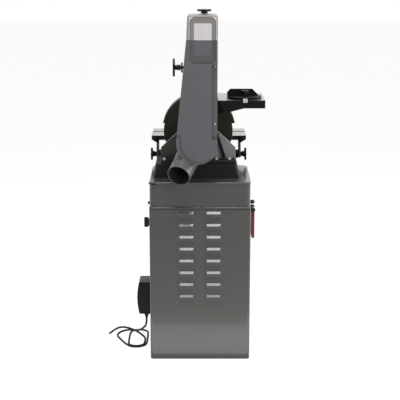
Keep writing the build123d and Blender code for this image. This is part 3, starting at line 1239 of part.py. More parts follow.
# Least gap of the cord to itself, on points 2 mm apart and more than 30 mm of cord from each other
cord_points = []
travelled = 0
for wire in (power_wire, coil_wire, tail_wire):
    count = int(wire.length / 2)
    for index in range(count):
        cord_points.append((travelled + wire.length * index / count, wire @ (index / count)))
    travelled += wire.length
least = min((a - b).length for index, (s, a) in enumerate(cord_points)
            for t, b in cord_points[index + 1:] if t - s > 30)
print("cord total", round(travelled), "least gap to itself", round(least - 2 * CORD_R, 2))
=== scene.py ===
import json
from math import cos, pi, radians, sin

import bmesh
import bpy
from mathutils import Matrix, Vector


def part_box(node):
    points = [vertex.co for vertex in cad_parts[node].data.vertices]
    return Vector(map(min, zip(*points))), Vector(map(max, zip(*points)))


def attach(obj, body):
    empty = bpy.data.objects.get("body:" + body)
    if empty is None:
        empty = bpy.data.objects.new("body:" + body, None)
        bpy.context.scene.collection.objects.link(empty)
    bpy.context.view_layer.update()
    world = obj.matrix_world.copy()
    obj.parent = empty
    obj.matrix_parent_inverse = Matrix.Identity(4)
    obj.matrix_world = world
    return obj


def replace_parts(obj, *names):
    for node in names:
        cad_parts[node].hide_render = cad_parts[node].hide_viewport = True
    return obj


# Belt and disc sander on a floor cabinet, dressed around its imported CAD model, in metres.
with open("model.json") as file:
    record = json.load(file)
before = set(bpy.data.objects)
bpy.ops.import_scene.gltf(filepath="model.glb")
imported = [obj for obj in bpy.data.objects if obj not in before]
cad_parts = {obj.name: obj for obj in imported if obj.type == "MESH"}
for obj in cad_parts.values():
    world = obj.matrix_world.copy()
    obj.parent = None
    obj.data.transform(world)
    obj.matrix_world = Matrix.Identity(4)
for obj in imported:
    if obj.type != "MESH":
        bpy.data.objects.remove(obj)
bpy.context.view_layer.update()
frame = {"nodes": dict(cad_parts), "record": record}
nodes = frame["nodes"]
node_body = {node: body for body, names in frame["record"]["behaviour"]["bodies"].items() for node in names}
scene = bpy.context.scene
scene.view_settings.view_transform = "Standard"
MM = 0.001

# Camera at the photograph's viewing angle
camera_data = bpy.data.cameras.new("camera")
camera_data.sensor_width = 36
camera_data.lens = 90.9
camera = bpy.data.objects.new("camera", camera_data)
camera.location = (0, -4.433, 1.695)
camera.rotation_euler = (radians(90 - 12.9), 0, 0)
scene.collection.objects.link(camera)
scene.camera = camera


# Node material helpers
def sock(tree, node, name, value):
    # Sets an input to a constant, or links it where value is another node's output.
    if isinstance(value, bpy.types.NodeSocket):
        tree.links.new(value, node.inputs[name])
    else:
        node.inputs[name].default_value = value


def add_node(tree, kind, out=0, props=None, **inputs):
    # Inputs named i0, i1 and so on are set by their number.
    node = tree.nodes.new(kind)
    for key, value in (props or {}).items():
        setattr(node, key, value)
    for key, value in inputs.items():
        sock(tree, node, int(key[1:]) if key[0] == "i" and key[1:].isdigit() else key, value)
    return node.outputs[out]


def rgb(red, green, blue):
    # Linear colour from 0 to 255 display values.
    channels = []
    for value in (red, green, blue):
        value = value / 255
        channels.append(value / 12.92 if value <= 0.04045 else ((value + 0.055) / 1.055) ** 2.4)
    return (*channels, 1)


def shade(colour, factor):
    return tuple(min(1, channel * factor) for channel in colour[:3]) + (1,)


def coords(tree, stretch=(1, 1, 1)):
    place = add_node(tree, "ShaderNodeTexCoord", "Object")
    return add_node(tree, "ShaderNodeMapping", 0, None, Vector=place, Scale=stretch)


def part_of(tree, vector, axis):
    return add_node(tree, "ShaderNodeSeparateXYZ", axis, None, Vector=vector)


def facing(tree, axis):
    # One component of the face's own direction, in the piece's axes.
    flat = add_node(tree, "ShaderNodeNewGeometry", "True Normal")
    turned = add_node(tree, "ShaderNodeVectorTransform", 0, {
        "vector_type": "NORMAL", "convert_from": "WORLD", "convert_to": "OBJECT"}, Vector=flat)
    return part_of(tree, turned, axis)


def noise(tree, place, scale, detail=3.0, rough=0.55):
    return add_node(tree, "ShaderNodeTexNoise", "Fac", None,
                    Vector=place, Scale=scale, Detail=detail, Roughness=rough)


def span(tree, value, low, high, start=0.3, end=0.7):
    return add_node(tree, "ShaderNodeMapRange", 0, None, i0=value, i1=start, i2=end, i3=low, i4=high)


def math(tree, what, first, second=0.0):
    return add_node(tree, "ShaderNodeMath", 0, {"operation": what}, i0=first, i1=second)


def mix(tree, factor, first, second):
    node = tree.nodes.new("ShaderNodeMix")
    node.data_type = "RGBA"
    sock(tree, node, 0, factor)
    sock(tree, node, 6, first)
    sock(tree, node, 7, second)
    return node.outputs[2]


def within(tree, low, high):
    # 1 where the point lies in a box, 0 elsewhere.
    place = add_node(tree, "ShaderNodeTexCoord", "Object")
    inside = 1.0
    for axis, least, most in zip("XYZ", low, high):
        value = part_of(tree, place, axis)
        inside = math(tree, "MULTIPLY", math(tree, "GREATER_THAN", value, least), inside)
        inside = math(tree, "MULTIPLY", math(tree, "LESS_THAN", value, most), inside)
    return inside


def bump(tree, height, depth, normal=None):
    node = tree.nodes.new("ShaderNodeBump")
    node.inputs["Distance"].default_value = depth
    sock(tree, node, "Height", height)
    if normal is not None:
        sock(tree, node, "Normal", normal)
    return node.outputs[0]


def start_material(name, metallic=0.0, specular=0.5, coat=0.0, coat_rough=0.1):
    material = bpy.data.materials.new(name)
    material.use_nodes = True
    tree = material.node_tree
    shader = tree.nodes["Principled BSDF"]
    shader.inputs["Metallic"].default_value = metallic
    shader.inputs["Specular IOR Level"].default_value = specular
    shader.inputs["Coat Weight"].default_value = coat
    shader.inputs["Coat Roughness"].default_value = coat_rough
    return material, tree, shader


def paint_crease_shade(tree, base, dark, reach=0.008):
    # Painted shade: ambient occlusion darkens the colour in inner corners and creases.
    open_share = add_node(tree, "ShaderNodeAmbientOcclusion", "AO", {"samples": 8}, Distance=reach)
    return mix(tree, span(tree, open_share, dark, 0, 0.35, 0.95), base, (0.006, 0.006, 0.006, 1))


def rubbed(tree, place, base, bright, amount):
    # Paint worn thin along outer edges.
    soft = add_node(tree, "ShaderNodeBevel", 0, {"samples": 4}, Radius=0.002)
    flat = add_node(tree, "ShaderNodeNewGeometry", "Normal")
    turn = add_node(tree, "ShaderNodeVectorMath", "Value", {"operation": "DOT_PRODUCT"}, i0=soft, i1=flat)
    edge = span(tree, turn, amount, 0, 0.80, 0.98)
    edge = math(tree, "MULTIPLY", edge, span(tree, noise(tree, place, 90, 4), 0.2, 1))
    return mix(tree, edge, base, bright)


def finish(name, colour, spread=0.08, rough=(0.35, 0.45), grain=500, depth=0.00006, metallic=0.0,
           specular=0.5, stretch=(1, 1, 1), coat=0.0, wear=0.0, crease_shade=0.0, zones=()):
    # Paint, plastic or metal: broad and fine tone changes, uneven gloss, a bumped grain, rubbed edges and painted
    # shade in creases.
    # Each zone is a function that gives a mask, with the colour that the mask shows; several zones are painted
    # shade, painted shadow or a painted highlight.
    material, tree, shader = start_material(name, metallic, specular, coat)
    place = coords(tree, stretch)
    broad = noise(tree, place, 4, 2)
    fine = noise(tree, place, grain, 4)
    tone = math(tree, "ADD", math(tree, "MULTIPLY", broad, 0.5), math(tree, "MULTIPLY", fine, 0.5))
    base = mix(tree, span(tree, tone, 0, 1), shade(colour, 1 - spread), shade(colour, 1 + spread))
    for mask, tint in zones:
        speckled = mix(tree, span(tree, tone, 0, 1), shade(tint, 1 - spread), shade(tint, 1 + spread))
        base = mix(tree, mask(tree), base, speckled)
    if wear:
        base = rubbed(tree, place, base, shade(colour, 2.6), wear)
    if crease_shade:
        base = paint_crease_shade(tree, base, crease_shade)
    sock(tree, shader, "Base Color", base)
    sock(tree, shader, "Roughness", span(tree, noise(tree, place, grain / 4, 3), *rough))
    sock(tree, shader, "Normal", bump(tree, fine, depth))
    return material


# Masks for zones painted in another tone: some give a part's own colour, the others painted shade, painted shadow or
# a painted highlight
COVER_NEAR = -0.246
COVER_SPLIT = 1.4085
RECESS = ((-0.045, COVER_NEAR - 0.0005, 1.311), (0.068, COVER_NEAR + 0.004, 1.504))
RECESS_LINE = 0.0006
SCROLL = ((-0.11, COVER_NEAR + 0.0003, 0.88), (0.049, COVER_NEAR + 0.0036, 1.014))


def recess_slope_shade(tree):
    # The slanted border of the recess in the belt cover and the idler cover, which both paint it darker as painted
    # shade.
    slanted = math(tree, "GREATER_THAN", facing(tree, "Y"), -0.9975)
    return math(tree, "MULTIPLY", slanted, within(tree, *RECESS))


def recess_line_shade(tree):
    # Painted shade along the outer edge of that border.
    depth = part_of(tree, add_node(tree, "ShaderNodeTexCoord", "Object"), "Y")
    return math(tree, "MULTIPLY", math(tree, "LESS_THAN", depth, COVER_NEAR + RECESS_LINE), recess_slope_shade(tree))


def scroll_rim_shade(tree):
    # Painted shade on the step round the foot of the belt cover's face.
    stepped = math(tree, "GREATER_THAN", facing(tree, "Y"), -0.9)
    return math(tree, "MULTIPLY", stepped, within(tree, *SCROLL))


def cover_margin_shade(tree):
    # The idler cover beside and above the recess, painted darker than the recess floor, whose brightness is a
    # painted reflection.
    return math(tree, "SUBTRACT", 1.0, within(tree, *RECESS))


def cover_seam_shade(tree):
    # Painted shade in the joint under the idler cover, beside the recess.
    left = within(tree, (-0.3, -0.3, COVER_SPLIT - 0.0022), (-0.036, 0.3, COVER_SPLIT + 0.001))
    right = within(tree, (0.058, -0.3, COVER_SPLIT - 0.0022), (0.3, 0.3, COVER_SPLIT + 0.001))
    return math(tree, "MAXIMUM", left, right)


def left_web_shadow(tree):
    # Painted shadow: the pedestal's left web, painted dark like the guard behind it, stands for the shade that the
    # belt cover casts on it.
    level = math(tree, "LESS_THAN", facing(tree, "Y"), -0.9)
    return math(tree, "MULTIPLY", level, within(tree, (-0.3, -0.3, 0.87), (-0.085, 0.3, 1.0)))


def tracking_boss(tree):
    return within(tree, (-0.09, -0.06, 1.24), (-0.0725, 0, 1.31))


def paddle_pivot(tree):
    return within(tree, (0.2, -0.05, 0.634), (0.3, 0.05, 0.7))


def cap_gap_shadow(tree):
    # Painted shadow in the joint below the bead of the cap.
    return within(tree, (-0.3, -0.3, 0.6815), (0.3, 0.3, 0.686))


def pedestal_foot(tree):
    return within(tree, (-0.3, -0.3, 0.85), (0.3, 0.3, 0.8765))


def upward(tree):
    return math(tree, "GREATER_THAN", facing(tree, "Z"), 0.6)


# In the finishes below, the crease value sets painted shade that darkens inner corners.
BLACK = rgb(12, 12, 12)
# Cabinet paint: the black zone below the cap's bead is painted shadow.
cabinet_paint = finish("cabinet_paint", rgb(71, 69, 66), 0.03, (0.23, 0.25), 700, 0.000005, specular=0.35,
                       crease_shade=0.8, coat=0.4, zones=[(cap_gap_shadow, BLACK)])
# Cover paint: the recess slopes, the recess's outer edge, the step at the cover's foot and the idler cover's joint
# are darker painted shade.
cover_paint = finish("cover_paint", rgb(95, 93, 98), 0.03, (0.25, 0.27), 800, 0.000005, specular=0.5,
                     crease_shade=0.8, zones=[(recess_slope_shade, rgb(80, 78, 80)), (recess_line_shade, rgb(62, 60, 60)),
                                         (scroll_rim_shade, rgb(52, 50, 52)), (cover_seam_shade, rgb(18, 18, 18))])
# Pedestal paint: the dark left web zone is painted shadow cast by the belt cover.
pedestal_paint = finish("pedestal_paint", rgb(148, 147, 150), 0.16, (0.4, 0.5), 420, 0.0001, crease_shade=0.8,
                        zones=[(left_web_shadow, rgb(44, 43, 37)), (pedestal_foot, rgb(20, 20, 18))])
chute_paint = finish("chute_paint", rgb(76, 76, 76), 0.1, (0.36, 0.48), 380, 0.00012, crease_shade=0.8, wear=0.7)
cover_iron = finish("cover_iron", rgb(104, 103, 106), 0.08, (0.40, 0.52), 300, 0.00012, specular=0.2,
                    crease_shade=0.7, zones=[(tracking_boss, BLACK)])
# Idler cover: the bright base tone on the recess floor is a painted reflection; the margin, slopes and edge are
# painted darker as painted shade.
brushed_cover = finish("brushed_cover", rgb(206, 202, 203), 0.05, (0.24, 0.36), 700, 0.00002, metallic=1.0,
                       stretch=(1, 1, 0.04), crease_shade=0.8,
                       zones=[(cover_margin_shade, rgb(152, 147, 143)), (recess_slope_shade, rgb(134, 131, 127)),
                              (recess_line_shade, rgb(112, 108, 103))])
black_paint = finish("black_paint", rgb(26, 26, 24), 0.12, (0.36, 0.5), 420, 0.00008, specular=0.15, wear=0.2)
guard_paint = finish("guard_paint", rgb(39, 39, 32), 0.12, (0.36, 0.5), 420, 0.00008, specular=0.15, wear=0.2)
black_iron = finish("black_iron", rgb(11, 11, 11), 0.15, (0.4, 0.58), 260, 0.00018, specular=0.12, wear=0.2)
black_plastic = finish("black_plastic", rgb(14, 14, 13), 0.1, (0.32, 0.44), 900, 0.00004, specular=0.2)
# Starter cover: its upward faces are painted light grey, a painted highlight on its top.
starter_plastic = finish("starter_plastic", rgb(13, 13, 12), 0.1, (0.38, 0.5), 900, 0.00004, specular=0.15,
                         crease_shade=0.6, zones=[(upward, rgb(104, 102, 102))])
cord_rubber = finish("cord_rubber", rgb(8, 8, 8), 0.15, (0.5, 0.65), 600, 0.00005, specular=0.2)
red_plastic = finish("red_plastic", rgb(120, 23, 35), 0.06, (0.22, 0.32), 700, 0.00002,
                     zones=[(paddle_pivot, BLACK)])
gloss_black = finish("gloss_black", rgb(12, 12, 12), 0.1, (0.08, 0.16), 900, 0.00001)
bright_steel = finish("bright_steel", rgb(190, 190, 188), 0.08, (0.18, 0.32), 900, 0.00002, metallic=1.0,
                      crease_shade=0.7)
dark_steel = finish("dark_steel", rgb(46, 46, 46), 0.12, (0.25, 0.4), 900, 0.00003, metallic=0.6, crease_shade=0.6)
drum_aluminium = finish("drum_aluminium", rgb(176, 176, 176), 0.08, (0.25, 0.4), 600, 0.00003, metallic=1.0)


def ground_iron(name, top, colour=rgb(181, 179, 176), lay=(0.03, 1, 1)):
    # Iron casting whose face at height top is ground bright, and whose other faces are black.
    material, tree, shader = start_material(name, specular=0.12)
    place = coords(tree)
    scratch = noise(tree, coords(tree, lay), 900, 4)
    cast = noise(tree, place, 260, 4)
    height = part_of(tree, add_node(tree, "ShaderNodeTexCoord", "Object"), "Z")
    mask = math(tree, "MULTIPLY", math(tree, "GREATER_THAN", height, top - 0.011), upward(tree))
    bright = mix(tree, span(tree, scratch, 0, 1), shade(colour, 0.9), shade(colour, 1.06))
    # Painted shade in the corners of the ground face.
    bright = paint_crease_shade(tree, bright, 0.9)
    black = mix(tree, span(tree, cast, 0, 1), rgb(9, 9, 9), rgb(14, 14, 14))
    sock(tree, shader, "Base Color", mix(tree, mask, black, bright))
    sock(tree, shader, "Metallic", math(tree, "MULTIPLY", mask, 0.9))
    polished = span(tree, scratch, 0.24, 0.36)
    painted = span(tree, cast, 0.4, 0.55)
    sock(tree, shader, "Roughness", add_node(tree, "ShaderNodeMix", 0, None, i0=mask, i2=painted, i3=polished))
    sock(tree, shader, "Normal", bump(tree, scratch, 0.00002))
    return material


def abrasive(name, colour, size=1400, seam=False):
    # Coated abrasive: grains of several tones standing in resin, with the belt's slanted joint.
    material, tree, shader = start_material(name, specular=0.35)
    place = coords(tree)
    cell = tree.nodes.new("ShaderNodeTexVoronoi")
    sock(tree, cell, "Vector", place)
    cell.inputs["Scale"].default_value = size
    tint = add_node(tree, "ShaderNodeSeparateColor", 0, None, Color=cell.outputs["Color"])
    base = mix(tree, tint, shade(colour, 0.6), shade(colour, 1.45))
    broad = noise(tree, place, 9, 3)
    base = mix(tree, span(tree, broad, 0, 0.35), base, shade(colour, 0.8))
    if seam:
        point = add_node(tree, "ShaderNodeTexCoord", "Object")
        slant = math(tree, "MULTIPLY", part_of(tree, point, "Y"), 0.6)
        joint = math(tree, "SUBTRACT", part_of(tree, point, "Z"), slant)
        joint = math(tree, "ABSOLUTE", math(tree, "SUBTRACT", joint, 1.30))
        base = mix(tree, span(tree, joint, 0.8, 0, 0.001, 0.0022), base, shade(colour, 0.35))
    sock(tree, shader, "Base Color", base)
    sock(tree, shader, "Roughness", span(tree, tint, 0.55, 0.85, 0, 1))
    sock(tree, shader, "Normal", bump(tree, cell.outputs["Distance"], 0.0004))
    return material


belt_iron = ground_iron("belt_table_iron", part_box("belt_table")[1].z)
disc_iron = ground_iron("disc_table_iron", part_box("disc_table")[1].z)
belt_grit = abrasive("belt_grit", rgb(112, 70, 48), seam=True)
disc_grit = abrasive("disc_grit", rgb(96, 66, 50), 1200)


# Mains cord: the route's points as one smooth line, with its coil on the floor
CORD_R = 0.0045
COIL = Vector((-0.2935, 0, CORD_R))
COIL_NEAR = -0.0185
COIL_FAR = 0.116
COIL_R = 0.047
COIL_STEP = 0.0098
COIL_TURNS = 2
CORNER = radians(15)


def coil_point(x, y, r, angle):
    # Corner of the polygon drawn round an arc.
    return (x + r / cos(CORNER) * cos(angle), y + r / cos(CORNER) * sin(angle), COIL.z)


cord_points = [
    (-0.242, -0.084, 0.152), (-0.242, -0.084, 0.121), (-0.257, -0.068, 0.098), (-0.270, -0.024, 0.075),
    (-0.282, 0.020, 0.0545), (-0.294, 0.060, 0.0385), (-0.307, 0.090, 0.0275), (-0.3199, 0.1146, 0.021),
    (-0.3443, 0.1259, 0.016), (-0.3704, 0.1203, 0.0115), (-0.3879, 0.1001, 0.008), (-0.390, 0.073, 0.0054),
    (-0.376, 0.041, 0.0046), (-0.3557, -0.0048, 0.0045),
]
for turn in range(COIL_TURNS):
    near_r = COIL_R - COIL_STEP * turn
    far_r = near_r - COIL_STEP / 2
    for step in range(1 if turn == 0 else 0, 6):
        cord_points.append(coil_point(COIL.x, COIL_NEAR, near_r, pi + CORNER * (2 * step + 1)))
    if turn < COIL_TURNS - 1:
        cord_points.append((COIL.x + near_r + 0.001, 0.049, COIL.z))
        for step in range(6):
            cord_points.append(coil_point(COIL.x + COIL_STEP / 2, COIL_FAR, far_r, CORNER * (2 * step + 1)))
        cord_points.append((COIL.x + COIL_STEP / 2 - far_r - 0.001, 0.049, COIL.z))
cord_points += [
    (-0.2563, 0.020, 0.0045), (-0.2563, 0.046, 0.0045), (-0.2665, 0.071, 0.005), (-0.283, 0.096, 0.009),
    (-0.304, 0.117, 0.0145), (-0.329, 0.136, 0.018), (-0.355, 0.149, 0.0203), (-0.381, 0.154, 0.020),
    (-0.404, 0.1465, 0.0125), (-0.419, 0.1295, 0.0065), (-0.430, 0.1095, 0.0045),
]
cord_curve = bpy.data.curves.new("mains_cord", "CURVE")
cord_curve.dimensions = "3D"
cord_curve.resolution_u = 8
cord_curve.bevel_depth = CORD_R
cord_curve.bevel_resolution = 5
cord_curve.use_fill_caps = True
spline = cord_curve.splines.new("NURBS")
spline.points.add(len(cord_points) - 1)
for point, place in zip(spline.points, cord_points):
    point.co = (*place, 1)
spline.order_u = 3
spline.use_endpoint_u = True
mains_cord = bpy.data.objects.new("mains_cord", cord_curve)
scene.collection.objects.link(mains_cord)
cord_curve.materials.append(cord_rubber)
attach(mains_cord, "root")
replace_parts(mains_cord, "power_cord", "cord_coil", "cord_tail")


# Mesh helpers
def piece_from(shape, name, material, body, sharp=35):
    # Makes a piece of a bmesh, smooth except along edges sharper than the angle.
    bmesh.ops.recalc_face_normals(shape, faces=shape.faces)
    mesh = bpy.data.meshes.new(name)
    shape.to_mesh(mesh)
    shape.free()
    mesh.shade_smooth()
    mesh.set_sharp_from_angle(angle=radians(sharp))
    mesh.materials.append(material)
    piece = bpy.data.objects.new(name, mesh)
    scene.collection.objects.link(piece)
    piece.modifiers.new("normals", "WEIGHTED_NORMAL").keep_sharp = True
    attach(piece, body)
    return piece


def round_edges(shape, edges, width, segments):
    bmesh.ops.bevel(shape, geom=edges, offset=width, offset_type="OFFSET", segments=segments, profile=0.5,
                    affect="EDGES", clamp_overlap=True)


def sharp_edges(shape, angle):
    return [edge for edge in shape.edges if edge.is_manifold and edge.calc_face_angle() > radians(angle)]


def dress(name, material, width, segments=2, angle=32, broad=None, broad_width=0.0):
    # Copy of a CAD node with rounded edges, which stands for the node; broad picks edges for a wider rounding.
    shape = bmesh.new()
    shape.from_mesh(nodes[name].data)
    bmesh.ops.remove_doubles(shape, verts=shape.verts, dist=0.00002)
    bmesh.ops.dissolve_limit(shape, angle_limit=radians(0.5), verts=shape.verts, edges=shape.edges)
    if broad:
        round_edges(shape, [edge for edge in sharp_edges(shape, angle) if broad(edge)], broad_width, 5)
    round_edges(shape, sharp_edges(shape, angle), width, segments)
    piece = piece_from(shape, name + "_rounded", material, node_body[name])
    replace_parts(piece, name)
    return piece


def crisp(piece, low, high, angle=4):
    # Marks the shallow edges inside a box as sharp.
    shape = bmesh.new()
    shape.from_mesh(piece.data)
    for edge in shape.edges:
        held = all(least < value < most for vert in edge.verts for least, value, most in zip(low, vert.co, high))
        if held and edge.is_manifold and edge.calc_face_angle() > radians(angle):
            edge.smooth = False
    shape.to_mesh(piece.data)
    shape.free()


def islands(name):
    # Lowest and highest corner of each loose piece of a CAD node.
    shape = bmesh.new()
    shape.from_mesh(nodes[name].data)
    bmesh.ops.remove_doubles(shape, verts=shape.verts, dist=0.00002)
    left = set(shape.verts)
    boxes = []
    while left:
        reached = [left.pop()]
        for vert in reached:
            joined = {edge.other_vert(vert) for edge in vert.link_edges} & left
            left -= joined
            reached.extend(joined)
        places = [vert.co for vert in reached]
        boxes.append((tuple(min(place[axis] for place in places) for axis in range(3)),
                      tuple(max(place[axis] for place in places) for axis in range(3))))
    shape.free()
    return sorted(boxes)


def reach(radius, angle, sides):
    # Distance from the axis to a circle, or to a regular polygon of that corner radius.
    if not sides:
        return radius
    half = pi / sides
    return radius * cos(half) / cos(angle % (2 * half) - half)


def turn_solid(shape, place, profile, steps=24, ring=False):
    # Solid of revolution about the local Z axis, from pole to pole or as a closed ring.
    # Profile entries are (radius, height) or (corner radius, height, sides).
    rings = []
    for radius, height, *sides in profile:
        corners = []
        for step in range(steps if radius else 1):
            angle = 2 * pi * step / steps
            r = reach(radius, angle, sides[0] if sides else 0)
            corners.append(shape.verts.new(place @ Vector((r * cos(angle), r * sin(angle), height))))
        rings.append(corners)
    pairs = list(zip(rings, rings[1:])) + ([(rings[-1], rings[0])] if ring else [])
    for low, high in pairs:
        for step in range(steps):
            after = step + 1
            corners = [low[step % len(low)], low[after % len(low)], high[after % len(high)], high[step % len(high)]]
            shape.faces.new(list(dict.fromkeys(corners)))


def sweep_solid(shape, frames, section):
    # Closed section carried along a row of frames, with both ends capped.
    rings = [[shape.verts.new(place @ Vector((x, y, 0))) for x, y in section] for place in frames]
    for low, high in zip(rings, rings[1:]):
        for index in range(len(section)):
            after = (index + 1) % len(section)
            shape.faces.new([low[index], low[after], high[after], high[index]])
    shape.faces.new(rings[0])
    shape.faces.new(rings[-1])


def aim(origin, direction):
    # Frame at a point whose Z axis is the direction.
    turn = Vector(direction).to_track_quat("Z", "Y").to_matrix().to_4x4()
    return Matrix.Translation(Vector(origin)) @ turn


def socket_screw(shape, place, r, height):
    # Button-headed screw with a six-sided socket; the head's seat is at the frame's origin.
    turn_solid(shape, place, [
        (0, 0), (r, 0), (r, 0.35 * height), (0.92 * r, 0.68 * height), (0.7 * r, 0.92 * height), (0.52 * r, height),
        (0.46 * r, height, 6), (0.46 * r, 0.4 * height, 6), (0, 0.4 * height)])


def hex_bolt(shape, place, r, height):
    # Six-sided head with a chamfer, on a washer.
    washer = 0.2 * height
    turn_solid(shape, place, [
        (0, 0), (1.2 * r, 0), (1.25 * r, 0.3 * washer), (1.25 * r, 0.7 * washer), (1.2 * r, washer),
        (r, washer, 6), (r, 0.86 * height, 6), (0.86 * r, height), (0, height)])


# CAD nodes with rounded edges, and the width of the rounding in millimetres
rounded = {
    cabinet_paint: {"cabinet_shell": 0.8, "cabinet_cap": 0.8, "rear_door": 1.0},
    pedestal_paint: {"arbor_pedestal": 3.0},
    chute_paint: {"dust_chute": 1.2},
    cover_iron: {"belt_arm": 2.0, "idler_carriage": 0.6},
    black_paint: {"base_casting": 4.0},
    guard_paint: {"disc_guard": 1.0, "disc_shroud": 1.0},
    black_iron: {"table_trunnions": 1.2, "trunnion_brackets": 1.5, "table_bracket": 1.5, "miter_head": 1.5,
                 "tilt_lever": 1.5, "door_hinges": 1.0},
    black_plastic: {"tension_knob": 1.8, "tracking_knob": 2.2, "table_lock_knob": 1.8, "trunnion_knob_left": 2.2,
                    "trunnion_knob_right": 2.2, "switch_box": 0.4, "door_latch": 1.5},
    starter_plastic: {"starter_cover": 2.5},
    red_plastic: {"stop_paddle": 1.6},
    belt_iron: {"belt_table": 1.2},
    disc_iron: {"disc_table": 1.2},
    bright_steel: {"miter_bar": 0.5, "platen": 0.8},
}
for material, widths in rounded.items():
    for name, width in widths.items():
        dress(name, material, width * MM)


def rear_outline(edge):
    # The covers' near outline along the rear of the belt.
    return all(abs(vert.co.y - COVER_NEAR) < 0.0003 and vert.co.x < -0.05 for vert in edge.verts)


for name, material in (("belt_cover", cover_paint), ("idler_cover", brushed_cover)):
    crisp(dress(name, material, 2.2 * MM, broad=rear_outline, broad_width=9 * MM), *RECESS)

# CAD nodes that stay as they are
finishes = {
    cabinet_paint: ["motor_shelf"],
    cover_iron: ["idler_yoke"],
    black_paint: ["floor_frame", "motor_body"],
    black_plastic: ["miter_knob"],
    gloss_black: ["start_button"],
    bright_steel: ["arbor_bearings", "starter_plate", "arbor_shaft", "arbor_nut", "motor_shaft",
                   "idler_bearings"],
    drum_aluminium: ["drive_drum", "arbor_pulley", "disc_plate", "motor_pulley", "idler_drum"],
    cord_rubber: ["drive_belt"],
    belt_grit: ["sanding_belt"],
    disc_grit: ["abrasive_disc"],
}
for material, names in finishes.items():
    for name in names:
        nodes[name].data.materials.clear()
        nodes[name].data.materials.append(material)

# Fasteners and spring in place of their plain solids
shape = bmesh.new()
for low, high in islands("frame_bolts"):
    middle = ((low[0] + high[0]) / 2, (low[1] + high[1]) / 2, low[2])
    hex_bolt(shape, aim(middle, (0, 0, 1)), 0.0083, high[2] - low[2])
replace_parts(piece_from(shape, "foot_bolts", bright_steel, node_body["frame_bolts"]), "frame_bolts")

shape = bmesh.new()
for low, high in islands("cover_screws"):
    middle = ((low[0] + high[0]) / 2, high[1], (low[2] + high[2]) / 2)
    socket_screw(shape, aim(middle, (0, -1, 0)), (high[0] - low[0]) / 2, high[1] - low[1])
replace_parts(piece_from(shape, "cover_socket_screws", bright_steel, node_body["cover_screws"]),
            "cover_screws")

shape = bmesh.new()
for low, high in islands("fixed_screws"):
    out = 1 if low[0] > 0 else -1
    seat = low[0] if out > 0 else high[0]
    middle = (seat, (low[1] + high[1]) / 2, (low[2] + high[2]) / 2)
    socket_screw(shape, aim(middle, (out, 0, 0)), (high[1] - low[1]) / 2, high[0] - low[0])
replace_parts(piece_from(shape, "panel_screws", dark_steel, node_body["fixed_screws"]), "fixed_screws")

SPRING_COILS = 6
SPRING_STEPS = 20
spring_low, spring_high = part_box("tension_spring")
SPRING_WIRE = 0.0013
spring_r = (spring_high.x - spring_low.x) / 2 - SPRING_WIRE
spring_x = (spring_low.x + spring_high.x) / 2
spring_y = (spring_low.y + spring_high.y) / 2
spring_rise = spring_high.z - spring_low.z - 2 * SPRING_WIRE
wire_frames = []
for step in range(SPRING_COILS * SPRING_STEPS + 1):
    angle = 2 * pi * step / SPRING_STEPS
    height = spring_low.z + SPRING_WIRE + spring_rise * step / (SPRING_COILS * SPRING_STEPS)
    place = (spring_x + spring_r * cos(angle), spring_y + spring_r * sin(angle), height)
    wire_frames.append(aim(place, (-sin(angle), cos(angle), 0.05)))
wire_section = [(SPRING_WIRE * cos(pi * k / 4), SPRING_WIRE * sin(pi * k / 4)) for k in range(8)]
shape = bmesh.new()
sweep_solid(shape, wire_frames, wire_section)
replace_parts(piece_from(shape, "coil_spring", bright_steel, node_body["tension_spring"]),
            "tension_spring")

# Collar of the dust chute
PORT_MOUTH = Vector((-0.090, -0.262, 0.844))
PORT_AXIS = Vector((-0.31, -0.83, -0.46)).normalized()
shape = bmesh.new()
turn_solid(shape, aim(PORT_MOUTH - 0.052 * PORT_AXIS, PORT_AXIS), [
    (0.0496, -0.0022), (0.0508, -0.002), (0.0513, -0.001), (0.0513, 0.001), (0.0508, 0.002), (0.0496, 0.0022)],
    steps=48, ring=True)
piece_from(shape, "chute_collar", chute_paint, node_body["dust_chute"])

# Dark plug in the rolled corner of the cap
cap_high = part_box("cabinet_cap")[1]
CORNER_R = 0.032
corner = Vector((-0.220 + CORNER_R, -0.198 + CORNER_R, cap_high.z - 0.0085))
plug_frames = []
for step in range(9):
    angle = radians(200 + 8.5 * step)
    place = corner + (CORNER_R - 0.0006) * Vector((cos(angle), sin(angle), 0))
    plug_frames.append(aim(place, (-sin(angle), cos(angle), 0)))
plug_section = [(-0.0055, 0.0012), (-0.0048, 0.0019), (0.0048, 0.0019), (0.0055, 0.0012), (0.0055, -0.0012),
                (-0.0055, -0.0012)]
shape = bmesh.new()
sweep_solid(shape, plug_frames, plug_section)
piece_from(shape, "corner_plug", black_plastic, "root")

